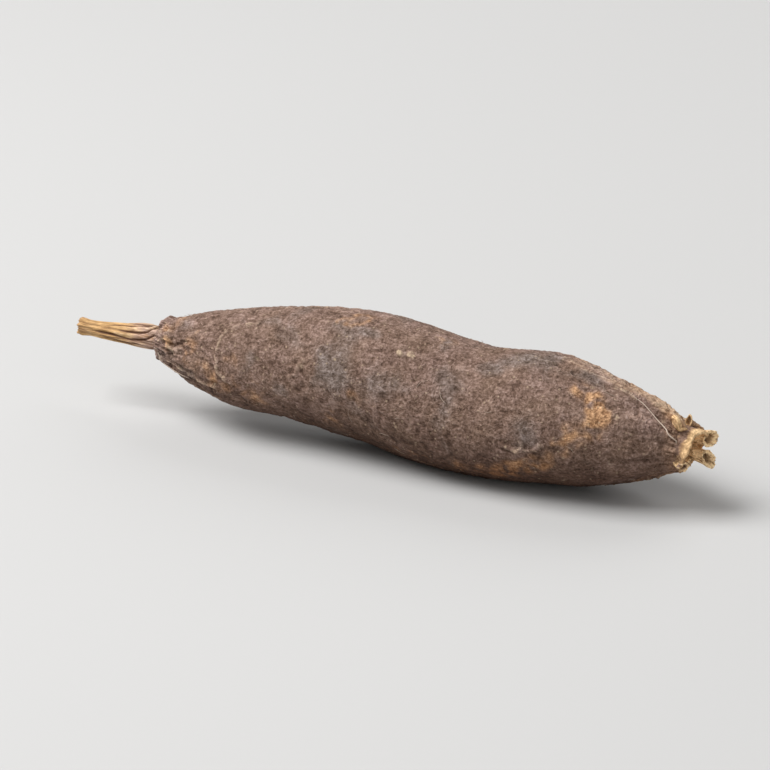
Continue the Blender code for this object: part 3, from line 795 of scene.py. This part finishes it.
def make_stalk(material):
    """A ribbed section carried along the stub's stations and turned as it goes. The radius falls in the
    deep grooves and in fine cracks, with fibres on the ribs; the tip is torn to unequal lengths and turns
    in to a pithy hollow."""
    outer = np.linspace(STALK_FOOT, STALK_TIP, STALK_RINGS - TIP_RINGS)
    turn = turns(STALK_SIDES)
    height, shift, radius = smooth_through(STALK_STATIONS, outer).T
    share = ((STALK_STATIONS[0][0] - outer) / (STALK_STATIONS[0][0] - STALK_TIP))[:, None]
    near_tip = bell(outer - STALK_TIP, 1.3)[:, None]

    spots = on_tube(outer[:, None] / 5.0, turn, 2.6)
    flat = spots.reshape(-1, 3)
    shape = spots.shape[:2]
    wander = noise(flat * (1.2, 0.5, 0.5), 51).reshape(shape)
    ribs = 0.5 + 0.5 * np.cos(STALK_RIBS * turn + 1.6 * wander)
    uneven = noise(flat, 52).reshape(shape)
    fibres = creased(flat * (1.0, 3.4, 3.4), 53).reshape(shape)
    cracks = ramp(creased(flat * (0.45, 1.15, 1.15), 56), 0.62, 0.95).reshape(shape)
    grooves = stalk_grooves(outer, turn + STALK_TWIST * share, radius, uneven)
    ribbed = 1 - STALK_RIB_DEPTH * ribs - 0.05 * cracks + 0.05 * uneven
    reach = radius[:, None] * ribbed - GROOVE_DEPTH * grooves
    reach = reach + 0.03 * fibres + 0.12 * near_tip * (uneven + 0.4)

    lengths = on_circle(turn, 4)
    ragged = 0.4 * noise(lengths, 54) + 0.25 * noise(lengths * 2.3, 55)
    along = outer[:, None] + near_tip * ragged

    inward = np.linspace(0, 1, TIP_RINGS + 1)[1:, None]
    depth = 1.0 * ramp(inward, 0.1, 0.7) + 0.15 * np.sin(5 * turn) * (1 - inward) * inward * 4
    rim = 0.08 * np.sin(math.pi * np.clip(inward / 0.2, 0, 1))
    along = np.concatenate([along, along[-1] + depth - rim])
    reach = np.concatenate([reach, reach[-1] * (1 - inward * 0.97)])
    last = np.ones((TIP_RINGS, 1))
    turned = turn + STALK_TWIST * np.concatenate([share, last])
    middle = np.concatenate([height[:, None], last * height[-1]])
    side = np.concatenate([shift[:, None], last * shift[-1]])
    across = reach * np.cos(turned) * STALK_FLATNESS
    rings = np.stack([along, side - across, middle + reach * np.sin(turned)], axis=-1)
    # Painted shade: the deep grooves, cracks and troughs between the ribs are darker, and so is the tip's
    # hollow.
    dark = np.clip(0.85 * grooves + 0.5 * cracks + 0.25 * ribs**3, 0, 1)
    shades = {
        "rib": np.concatenate([1 - dark, 0.7 - 0.5 * inward + 0 * turn]),
        "fibre": np.concatenate([0.5 + 0.5 * fibres, 0.5 + 0 * inward + 0 * turn]),
        "tip": np.concatenate([share, last]),
        "inside": np.concatenate([0 * share, ramp(inward, 0.1, 0.6)]),
    }
    backwards = {name: value[::-1] for name, value in shades.items()}
    piece = make_piece("stalk_stub_straw", [(rings[::-1], backwards)], material)
    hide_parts("stalk_stub")
    return piece


def make_collar(material):
    """The collar is its half section turned round the crown's axis. The lip waves and flares as the
    solid's does, is torn by noise, and falls to the floor in a gap low on the far side; its wall is
    pleated, and its floor is pitted like a sponge."""
    section = along_line(COLLAR_SECTION, COLLAR_RINGS)
    turn = turns(COLLAR_SIDES)
    radius, height = section[:, :1], section[:, 1:]
    lift = np.clip(height / LIP_HEIGHT, 0, 1) ** 2
    out = np.clip(radius / LIP_RADIUS, 0, 1) ** 2
    flare = 1 + LIP_FLARE_SHARE * lift * np.cos(turn - LIP_FLARE_TURN)
    wave = sum(share * np.cos(count * turn + phase) for count, phase, share in LIP_WAVES)
    circle = on_circle(turn, 3)
    torn = 0.5 * noise(circle / 1.9, 61) + 0.25 * noise(circle * 1.6, 62)
    gap = GAP_DEPTH * bell(wrapped(turn - GAP_TURN), GAP_WIDTH)
    height = height + (LIP_WAVE * wave + 0.25 * torn - gap) * lift * out
    radius = radius * flare * (1 + 0.02 * lift * noise(circle, 60))
    rings = on_circle(turn, radius, height)

    shape = rings.shape[:2]
    flat = rings.reshape(-1, 3)
    travel = np.linspace(0, 1, COLLAR_RINGS)[:, None] + 0 * turn
    wall = (1 - ramp(travel, 0.42, 0.52)).ravel()
    floor = ramp(travel, 0.58, 0.72).ravel()
    angle = np.arctan2(flat[:, 1], flat[:, 0])
    folds = creased(on_tube(flat[:, 2] / 3.0, angle, 4.2), 63)
    distance, luck = grains(flat / 0.8, 64)
    cells = bell(distance, 0.4) * ramp(luck, 0.25, 0.7)
    relief = 0.025 * folds * (1 - floor) + 0.05 * noise(flat / 0.8, 65) + 0.03 * creased(flat / 0.35, 66)
    relief += floor * (0.2 * noise(flat / 0.9, 70) - 0.35 * cells + 0.05)
    rings = rings + ring_normals(rings) * relief.reshape(shape + (1,))
    browning = 1 - ramp(flat[:, 2] + 0.12 * folds + 0.45 * noise(flat / 1.1, 67), 0.35, 1.85)
    # Patches low on the wall are darker, most of all at one place low on the near side.
    dark_wall = 0.4 * wall * ramp(noise(flat / 0.7, 68), 0.1, 0.5) * (1 - ramp(flat[:, 2], 1.2, 1.9))
    dark_wall += wall * bell(wrapped(angle - DARK_WALL_TURN), DARK_WALL_WIDTH) * bell(flat[:, 2] - DARK_WALL_HEIGHT, 0.6)
    creamy = 0.35 + 0.65 * bell(wrapped(turn - CREAM_TURN), CREAM_WIDTH)
    lip = ramp(lift, 0.05, 0.6) * (1 - ramp(travel, 0.6, 0.72)) * creamy
    webs = (floor * ramp(creased(flat / 0.75, 69), 0.45, 0.9)).reshape(shape)
    shades = {
        "skin": (wall * browning).reshape(shape),
        # Painted shade in the pits of the floor; the same shade darkens the wall's darker patches.
        "depth": np.clip(dark_wall + floor * (0.85 * cells + 0.05), 0, 1).reshape(shape) * (1 - webs),
        # Painted light: the floor of the hollow is made paler, as if more light fell into it.
        "edge": lip + 0.7 * webs + 0.4 * floor.reshape(shape),
        "fibre": (0.6 + 0.25 * folds).reshape(shape),
    }
    piece = make_piece("crown_collar", [(crown_to_root(rings), shades)], material)
    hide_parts("torn_crown")
    return piece


def stem_base_rings(number, form):
    """One stem base: a hollow stump, its half section turned round, lobed and ribbed, and broken down on
    one side. The section's last points, inside the wall, are drawn in by the bore. It is leant outwards
    and set in its place on the crown."""
    degrees, distance, foot, length, radius, lean, broken, broken_turn, narrowness, bore, brown = form
    section = along_line(STEM_SECTION, STEM_RINGS)
    turn = turns(STEM_SIDES)
    travel = np.linspace(0, 1, STEM_RINGS)[:, None]
    inside = ramp(travel, 0.56, 0.66)
    share, up = section[:, :1] * (1 - (1 - bore) * inside), section[:, 1:]
    circle = on_circle(turn, 2.2, 5 * number)
    uneven = noise(circle, 71)
    torn = 0.5 * noise(circle * 1.3, 72) + 0.5 * creased(circle * 1.8, 73)
    facing = 0.5 + 0.5 * np.cos(turn - math.radians(broken_turn - degrees))
    top = np.clip(up, 0, 1) ** 3
    height = foot + length * (up - broken * facing**narrowness * top) + 0.42 * torn * top
    oval = 0.2 * inside * np.cos(2 * (turn - 0.7 - number))
    lobed = 1 + 0.11 * uneven + 0.04 * np.cos(7 * turn + number) * (1 - inside) + oval
    reach = radius * share * lobed
    x, y = reach * np.cos(turn) * STEM_OVAL, reach * np.sin(turn) / STEM_OVAL
    rings = np.stack([x, y, height], axis=-1)
    flat = rings.reshape(-1, 3) + (0, 0, 7 * number)
    fibre = creased(flat * (3.0, 3.0, 0.6), 74)
    relief = 0.035 * fibre + 0.04 * noise(flat / 0.45, 75)
    rings = rings + ring_normals(rings) * relief.reshape(STEM_RINGS, STEM_SIDES, 1)
    lip = bell(travel - 0.5, 0.1)
    brown_top = brown * ramp(up, 0.3, 0.8) * (1 - 0.6 * lip)
    brown_foot = 0.15 * (1 - ramp(up, 0.1, 0.5)) * (1 - inside)
    shades = {
        "skin": brown_top + brown_foot,
        # Painted shade: the bore is darker deeper down.
        "depth": inside * (1 - 0.8 * ramp(up, 0.5, 1.0)),
        # Painted light: the stem bases are made paler and brighter all over, as if lit as well as the
        # collar.
        "edge": 0.7 + 0.7 * bell(travel - 0.5, 0.14),
        "fibre": (0.82 + 0.75 * fibre).reshape(STEM_RINGS, STEM_SIDES),
    }
    away, rise = spun(rings[..., 0], rings[..., 2], -math.radians(lean))
    x, y = spun(away + distance, rings[..., 1], math.radians(degrees))
    return crown_to_root(np.stack([x, y, rise], axis=-1)), shades


def make_stem_bases(material):
    """All the stem bases as one piece."""
    sets = [stem_base_rings(number, form) for number, form in enumerate(STEM_BASES)]
    return make_piece("crown_stem_bases", sets, material)


def tube_rings(path, radii, sides, flatness=1.0):
    """A round or flattened section carried along a path: side and rise are square to the path's own
    direction, and each ring is the radius times cosine and sine along them."""
    path = np.array(path, float)
    ahead = np.gradient(path, axis=0)
    ahead /= np.linalg.norm(ahead, axis=1)[:, None]
    side = np.cross(ahead, (0.13, 0.36, 0.92))
    side /= np.linalg.norm(side, axis=1)[:, None]
    rise = np.cross(side, ahead)
    angle = turns(sides)[:, None]
    circle = np.cos(angle) * side[:, None] + np.sin(angle) * rise[:, None] * flatness
    return path[:, None] + radii[:, None, None] * circle


def tapered(count, thick, tip=0.35):
    """Radii that run down from thick to the tip's share of it, by the way along to the power of 1.5, and
    close at the very end."""
    share = np.linspace(0, 1, count)
    return thick * (1 - (1 - tip) * share**1.5) * ramp(1 - share, -0.02, 0.12)


def crown_spot(degrees, distance, height):
    """A point by its turn round the crown's axis, its distance from it and its height."""
    turn = math.radians(degrees)
    return crown_to_root(np.array([distance * math.cos(turn), distance * math.sin(turn), height]))


def make_scale():
    """The curled scale above the crown: rolled up along its line, fat at the back and run out in a thin
    tail on the collar, with a hollow along the side that faces the ear, painted dark as shade."""
    spots = [lifted_spot(*spot) for spot in SCALE_ON_SKIN]
    spots += [crown_spot(*spot) for spot in SCALE_ON_CROWN]
    path = along_line(spots, SCALE_RINGS)
    share = np.linspace(0, 1, SCALE_RINGS)
    from_end = np.clip(np.minimum(share, 1 - share) / 0.14, 0, 1)
    ends = np.sqrt(np.maximum(1 - (1 - from_end) ** 2, 0.02))
    rings = tube_rings(path, smooth_through(SCALE_RADII, share)[:, 0] * ends, SCALE_SIDES, 0.85)
    angle, share = turns(SCALE_SIDES), share[:, None]
    wander = 0.35 * np.sin(5 * share)
    inside = bell(wrapped(angle - SCALE_OPEN_TURN - wander), SCALE_OPEN_WIDTH) * ramp(share, 0.03, 0.2)
    inside *= 1 - ramp(share, 0.6, 0.85)
    folds = creased(on_tube(2.0 * share, angle, 1.6).reshape(-1, 3), 81).reshape(inside.shape)
    rings = path[:, None] + (rings - path[:, None]) * (1 - 0.8 * inside + 0.1 * folds)[..., None]
    edge = 0.35 + 0.5 * ramp(folds, 0.0, 0.8) + 0.6 * bell(inside - 0.4, 0.25)
    low = bell(wrapped(angle + 0.9), 1.0) * (1 - share)
    return rings, {"skin": 0.45 * low, "depth": inside**2, "edge": edge, "fibre": 0.6 + 0.3 * folds}


def make_ear():
    """The small upright scale beside it, like an ear: an oval dish whose rolled rim is pale and whose
    hollow is painted dark as shade. Its half section is turned round, stretched upwards, and bent a little
    by noise."""
    section = along_line(EAR_SECTION, EAR_RINGS)
    share, front = section[:, :1], section[:, 1:]
    angle = turns(EAR_SIDES)
    bent = 0.14 * noise(on_circle(angle, 1.4, 2), 84)
    turn, distance, height = EAR_AT
    away = distance + EAR_SIZE[0] * share * (np.sin(angle) + bent)
    aside = front + bent * share
    side = EAR_SIZE[1] * share * np.cos(angle) * (1 - 0.25 * np.sin(angle))
    x, y = spun(away, aside, turn)
    travel = np.linspace(0, 1, EAR_RINGS)[:, None]
    rim = bell(travel - 0.47, 0.14)
    shades = {
        "skin": 0.9 * ramp(travel, 0.58, 0.75),
        # Painted shade: the dish's hollow is dark.
        "depth": 1 - ramp(travel, 0.16, 0.36),
        "edge": 0.2 + 1.1 * rim,
        "fibre": 0.55 + 0.45 * rim,
    }
    return crown_to_root(np.stack([x, y, height + side], axis=-1)), shades


def make_strand():
    """The ridge of skin that runs over the collar's top, from the ear to the upper stem base: a tube that
    noise makes uneven, and creases along its length."""
    path = along_line(crown_to_root(np.array(STRAND)), STRAND_RINGS)
    spots = np.stack([np.linspace(0, 6, STRAND_RINGS)] * 3, axis=1)
    radii = np.linspace(0.55, 0.3, STRAND_RINGS) * (1 + 0.2 * noise(spots, 82))
    rings = tube_rings(path, radii, STRAND_SIDES)
    grain = creased(rings.reshape(-1, 3) * (0.8, 3.0, 3.0), 83).reshape(rings.shape[:2])
    rings = rings + ring_normals(rings) * 0.05 * grain[..., None]
    share = np.linspace(0, 1, STRAND_RINGS)[:, None]
    return rings, {"skin": 0.5 - 0.3 * share**2, "depth": 0.0, "edge": 0.3, "fibre": 0.75 + 0.45 * grain}


def make_shreds():
    """Torn strands of pith that stand up in the crown's hollow: short tapered tubes that lean at random."""
    draw = np.random.default_rng(SHRED_SEED)
    sets = []
    for _ in range(SHREDS):
        away, turn = SHRED_SPREAD * math.sqrt(draw.random()), draw.random() * 2 * math.pi
        foot = np.array([away * math.cos(turn), away * math.sin(turn), SHRED_FOOT])
        lean = draw.normal(0, 0.45, 3) * (1, 1, 0) + (0, 0, 0.5 + 0.8 * draw.random())
        curl = draw.normal(0, 0.25, 3)
        path = along_line([foot, foot + lean * 0.5 + curl * 0.4, foot + lean + curl], SHRED_POINTS)
        radii = tapered(SHRED_POINTS, 0.12 + 0.1 * draw.random(), 0.5)
        rings = tube_rings(crown_to_root(path), radii, SHRED_SIDES, 0.6)
        sets.append((rings, {"skin": 0.0, "depth": 0.15, "edge": 0.5, "fibre": 0.5}))
    return sets


def make_hairs(material):
    """Root hairs that lie on the skin: the long thread by the crown, the flat tag by the neck, and short
    ones strewn over the rest, which lift off the skin towards their tips. Each is a tube along a line of
    the skin."""
    lift = 0.28 + 0.06 * np.sin(np.linspace(0, 9, THREAD_POINTS))
    path = on_skin(THREAD, THREAD_POINTS, lift)
    sets = [(tube_rings(path, tapered(THREAD_POINTS, 0.11, 0.45), THREAD_SIDES), {"tone": 0.95})]
    path = on_skin(TAG, THREAD_POINTS, 0.25)
    sets += [(tube_rings(path, tapered(THREAD_POINTS, 0.24, 0.5), TAG_SIDES, 0.5), {"tone": 0.45})]
    draw = np.random.default_rng(HAIR_SEED)
    for _ in range(HAIRS):
        along, degrees = draw.uniform(2, 85), draw.uniform(0, 360)
        heading, length = draw.uniform(0, 2 * math.pi), draw.uniform(1.0, 3.6)
        bend = draw.normal(0, 0.9)
        radius = smooth_through(OUTLINE, np.array([along]))[0, 1]
        share = np.linspace(0, 1, HAIR_BENDS)
        ahead = along + length * share * np.cos(heading + bend * share)
        aside = degrees + np.degrees(length * share * np.sin(heading + bend * share) / radius)
        ahead = np.clip(ahead, 1, 86)
        lift = 0.05 + draw.uniform(0.05, 0.4) * np.linspace(0, 1, HAIR_POINTS) ** 2
        path = on_skin(np.column_stack([ahead, aside]), HAIR_POINTS, lift)
        rings = tube_rings(path, tapered(HAIR_POINTS, draw.uniform(0.03, 0.05)), HAIR_SIDES)
        sets.append((rings, {"tone": draw.uniform(0.1, 0.7)}))
    return make_piece("root_hairs", sets, material)


class Tap:
    """A node's output that can be reckoned with: sums, products and powers add Math nodes."""

    def __init__(self, board, socket):
        self.board, self.socket = board, socket

    def reckon(self, operation, *terms):
        """One Math node on its terms, which are numbers or taps."""
        return self.board.node("ShaderNodeMath", {"operation": operation}, dict(enumerate(terms)))

    def __add__(self, other):
        return self.reckon("ADD", self, other)

    def __sub__(self, other):
        return self.reckon("SUBTRACT", self, other)

    def __rsub__(self, other):
        return self.reckon("SUBTRACT", other, self)

    def __mul__(self, other):
        return self.reckon("MULTIPLY", self, other)

    def __pow__(self, other):
        return self.reckon("POWER", self, other)

    __radd__, __rmul__ = __add__, __mul__

    def __abs__(self):
        return self.reckon("ABSOLUTE", self)

    def at_least(self, low):
        return self.reckon("MAXIMUM", self, low)

    def swayed(self, cloud, share):
        """The number, moved by that share of how far a cloud of noise is from its middle."""
        return self + (cloud - 0.5) * share

    def crests(self, sharpness):
        """Lines where a cloud crosses its middle: 1 less its distance from there times the sharpness."""
        return (1 - abs(self - 0.5) * sharpness).at_least(0.0)

    def between(self, low, high):
        """0 below low, 1 above high, and a smooth rise between."""
        values = {"Value": self, "From Min": low, "From Max": high}
        return self.board.node("ShaderNodeMapRange", {"interpolation_type": "SMOOTHSTEP"}, values)


class Board:
    """A material's node tree, with one method that makes any node."""

    def __init__(self, name):
        self.material = bpy.data.materials.new(name)
        self.material.use_nodes = True
        self.tree = self.material.node_tree
        self.shader = self.tree.nodes["Principled BSDF"]

    def node(self, kind, settings=None, values=None, output=0):
        """Makes a node, sets its settings, then sets or links its sockets, and gives one output."""
        made = self.tree.nodes.new(kind)
        for name, setting in (settings or {}).items():
            setattr(made, name, setting)
        for name, value in (values or {}).items():
            self.feed(made.inputs[name], value)
        return Tap(self, made.outputs[output])

    def feed(self, socket, value):
        """Links a tap to a socket, or sets the socket to a number, a vector or a colour."""
        if isinstance(value, Tap):
            self.tree.links.new(value.socket, socket)
        elif isinstance(value, tuple) and len(value) == 3 and socket.type == "RGBA":
            socket.default_value = (*value, 1)
        else:
            socket.default_value = value

    def shade(self, name):
        """A number that the mesh holds at each of its points."""
        return self.node("ShaderNodeAttribute", {"attribute_name": name}, output="Fac")

    def place(self, scale=(1, 1, 1)):
        """The place on the object, stretched."""
        spot = self.node("ShaderNodeTexCoord", output="Object")
        return self.node("ShaderNodeMapping", values={"Vector": spot, "Scale": scale})

    def cloud(self, place, scale, detail=2.0, roughness=0.5, bend=0.0):
        """Noise from 0 to 1 about one half, with that many waves to a metre."""
        values = {"Vector": place, "Scale": scale, "Detail": detail}
        values.update({"Roughness": roughness, "Distortion": bend})
        return self.node("ShaderNodeTexNoise", values=values)

    def mixed(self, share, first, second, blend="MIX"):
        """The first colour with that share of the second laid over it, or multiplied in."""
        settings = {"data_type": "RGBA", "blend_type": blend}
        return self.node("ShaderNodeMix", settings, {0: share, 6: first, 7: second}, output=2)

    def lit(self, colour, light):
        """The colour times a light. Green and blue change more than red, so the dark is warmer."""
        values = {0: light, 1: light**1.15, 2: light**1.3}
        tint = self.node("ShaderNodeCombineColor", values=values)
        return self.mixed(1.0, colour, tint, "MULTIPLY")

    def finish(self, colour, roughness, height, depth):
        """Feeds the shader: its colour, its roughness, and a bump of that depth in metres."""
        bump = self.node("ShaderNodeBump", values={"Height": height, "Distance": depth, "Strength": 1.0})
        for name, value in {"Base Color": colour, "Roughness": roughness, "Normal": bump}.items():
            self.feed(self.shader.inputs[name], value)
        self.shader.inputs["Specular IOR Level"].default_value = GLOSS
        return self.material


def skin_material():
    """Dry felted skin: brown that drifts between pink, slate and ochre by the mesh's own shades, and is
    darker and warmer low down, a painted shade of the underside. Pale worm-like crests, where a bent
    noise crosses its middle, short lengthwise strokes, a finer grain and pale specks break it up."""
    board = Board("felted_skin")
    place = board.place()
    grain, hollow, pale = board.shade("grain"), board.shade("hollow"), board.shade("pale")
    fine = board.cloud(place, 2600, 2, 0.6)
    strokes = board.cloud(board.place((0.4, 1, 1)), 1700, 2, 0.6, 1.0)
    worms = board.cloud(place, 1150, 2.5, 0.6, 0.6).crests(8.0)
    broad = board.cloud(place, 560, 3, 0.6)
    drift = board.cloud(place, 240, 3, 0.6)
    cells = {"Vector": place, "Scale": 1500.0}
    speck = board.node("ShaderNodeTexVoronoi", {"feature": "F1"}, cells, output="Distance")
    chosen = board.node("ShaderNodeTexVoronoi", {"feature": "F1"}, cells, output="Color")
    lucky = board.node("ShaderNodeSeparateColor", values={0: chosen})
    above = board.node("ShaderNodeSeparateXYZ", values={0: place}, output=2)

    colour = board.mixed(board.shade("pink"), WARM, PINK)
    slate = board.shade("slate").swayed(drift, 0.9).between(0.12, 1.0)
    colour = board.mixed(slate * 0.75, colour, SLATE)
    ochre = board.shade("ochre").swayed(drift, 0.8).between(0.15, 1.0)
    colour = board.mixed(ochre, colour, OCHRE)
    # The grain shade lightens the skin where it stands up and darkens it where it sinks, partly as painted
    # shade.
    light = (0.72 + grain * 0.5 + worms * 0.22).swayed(fine, 1.3).swayed(strokes, 0.85)
    light = light.swayed(broad, 0.65).swayed(drift, 0.35).at_least(0.7) ** 2
    colour = board.lit(colour, light)
    # Painted shade: the skin grows darker and warmer towards the bottom, by its height above the floor.
    painted_underside_shade = 1 - above.swayed(drift, 0.006).between(0.0015, 0.012)
    colour = board.mixed(painted_underside_shade * 0.95, colour, board.mixed(1.0, colour, PAINTED_UNDERSIDE_SHADE, "MULTIPLY"))
    bright = (lucky - 0.72).between(0.0, 0.2) * (0.45 - speck).between(0.0, 0.35)
    colour = board.mixed((bright * 0.55 + pale * (0.3 + fine)).between(0.0, 1.3), colour, CREAM)
    # Painted shade in the pits and in the troughs of the pleats.
    colour = board.mixed(hollow * 0.4, colour, DARK)

    rough = 0.8 + (fine - 0.5) * 0.25
    height = worms * 0.4 + fine * 0.5 + strokes * 0.4 + broad * 0.8 + bright * 0.2
    return board.finish(colour, rough, height, SKIN_BUMP)


def stalk_material():
    """Dry straw: pink by the neck, golden along the middle and orange brown at the tip, dark brown in the
    grooves, with fine streaks that run along the stub."""
    board = Board("stalk_straw")
    streaks = board.cloud(board.place((0.14, 1, 1)), 3800, 3, 0.6)
    blotch = board.cloud(board.place((0.4, 1, 1)), 800, 3, 0.6)
    tip, rib = board.shade("tip"), board.shade("rib")
    colour = board.mixed(tip.swayed(blotch, 0.5).between(0.28, 0.6), STRAW_PINK, STRAW_GOLD)
    colour = board.mixed((blotch - 0.52).between(0.0, 0.14) * 0.6, colour, STRAW_PALE)
    colour = board.mixed((0.47 - blotch).between(0.0, 0.14) * 0.6, colour, STRAW_BROWN)
    colour = board.mixed(tip.swayed(blotch, 0.9).between(0.88, 1.1) * 0.8, colour, STRAW_TIP)
    # The grooves, cracks and troughs between the ribs are darker: painted shade.
    colour = board.lit(colour, (0.35 + rib * 0.6).swayed(streaks, 1.7).at_least(0.2))
    colour = board.mixed((1 - rib).between(0.2, 0.85) * 0.85, colour, GROOVE_DARK)
    # Painted shade: darker deeper in the tip's hollow.
    colour = board.mixed(board.shade("inside") * 0.75, colour, TIP_HOLLOW)
    height = streaks + board.shade("fibre") * 0.5
    rough = 0.62 + (streaks - 0.5) * 0.3
    return board.finish(colour, rough, height, STRAW_BUMP)


def crown_material():
    """Torn straw and pith: cream at the broken edges, tan on the walls, brown where the skin runs up
    them, and dark brown in the hollows as painted shade, with the paler webs of the pith in them. The
    same dark brown darkens patches low on the collar's wall."""
    board = Board("crown_straw")
    place = board.place()
    fine = board.cloud(place, 2800, 3, 0.6)
    blotch = board.cloud(place, 1100, 3, 0.6)
    edge, depth, skin, fibre = (board.shade(name) for name in ("edge", "depth", "skin", "fibre"))
    colour = board.mixed(edge.swayed(blotch, 0.9).between(0.1, 0.8), CROWN_TAN, CROWN_CREAM)
    # The palest rims are partly the pale broken straw, partly a painted highlight.
    colour = board.mixed(edge.swayed(blotch, 0.5).between(0.75, 1.15) * 0.7, colour, CROWN_RIM)
    colour = board.mixed(skin.swayed(blotch, 0.5).between(0.15, 0.75), colour, CROWN_SKIN)
    colour = board.lit(colour, (0.45 + fibre * 0.55).swayed(fine, 1.5).at_least(0.25))
    # Painted shade: dark brown in the hollows, deeper in; the same brown darkens patches of the wall.
    colour = board.mixed(depth.swayed(blotch, 0.4).between(0.1, 1.0) * 0.9, colour, CROWN_HOLLOW)
    webs = board.cloud(place, 1500, 2, 0.6, 0.5).crests(9.0)
    colour = board.mixed(webs * depth.between(0.1, 0.5) * 0.5, colour, PITH_WEB)
    height = fine + fibre * 0.4 + webs * depth
    return board.finish(colour, 0.8, height, CROWN_BUMP)


def hair_material():
    """Fine root hairs: tan to cream by each hair's own tone, with a faint mottle."""
    board = Board("root_hair")
    mottle = board.cloud(board.place(), 2200, 2)
    colour = board.mixed(board.shade("tone") * 0.7 + mottle * 0.4, HAIR_DARK, HAIR_PALE)
    return board.finish(colour, 0.6, mottle, HAIR_BUMP)


def make_floor():
    """A wide pale floor that the root lies on: one square face."""
    corners = [(x * FLOOR_REACH, y * FLOOR_REACH, 0) for x, y in ((-1, -1), (1, -1), (1, 1), (-1, 1))]
    mesh = bpy.data.meshes.new("floor")
    mesh.from_pydata(corners, [], [(0, 1, 2, 3)])
    board = Board("pale_floor")
    soft = board.cloud(board.place(), 3.0, 2)
    colour = board.mixed(soft, FLOOR_DARK, FLOOR_PALE)
    mesh.materials.append(board.finish(colour, 0.7, soft, FLOOR_BUMP))
    floor = bpy.data.objects.new("floor", mesh)
    bpy.context.scene.collection.objects.link(floor)


def aim(thing, at, target):
    """Puts a lamp or a camera at its place, turned to look at a target."""
    thing.location = at
    thing.rotation_euler = (Vector(target) - Vector(at)).to_track_quat("-Z", "Y").to_euler()
    bpy.context.scene.collection.objects.link(thing)


def make_lights():
    """A broad soft light from above on the left, weak ones from the right and behind, and a pale sky."""
    for name, at, size, power in LAMPS:
        light = bpy.data.lights.new(name, "AREA")
        light.energy = power
        light.size = size
        aim(bpy.data.objects.new(name, light), at, LAMPS_AIM)
    world = bpy.data.worlds.new("studio")
    world.use_nodes = True
    sky = world.node_tree.nodes["Background"]
    sky.inputs["Color"].default_value = SKY_COLOUR
    sky.inputs["Strength"].default_value = SKY_STRENGTH
    bpy.context.scene.world = world


def make_camera(low, high):
    """The photograph's angle: looking down on the root, from the lit side and a little from the crown."""
    centre = (low + high) / 2
    away = Vector((math.sin(CAMERA_AZIMUTH), -math.cos(CAMERA_AZIMUTH), math.tan(CAMERA_ELEVATION)))
    data = bpy.data.cameras.new("camera")
    data.lens = CAMERA_LENS
    camera = bpy.data.objects.new("camera", data)
    aim(camera, centre + away.normalized() * CAMERA_DISTANCE, centre)
    bpy.context.scene.camera = camera


def main():
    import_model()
    cad_low, cad_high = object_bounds()
    bpy.context.scene.view_settings.view_transform = "Standard"
    make_camera(cad_low, cad_high)
    make_skin(skin_material())
    make_stalk(stalk_material())
    crown = crown_material()
    make_collar(crown)
    make_stem_bases(crown)
    make_piece("crown_scraps", [make_scale(), make_ear(), make_strand()], crown)
    make_piece("crown_shreds", make_shreds(), crown)
    make_hairs(hair_material())
    make_floor()
    make_lights()


main()
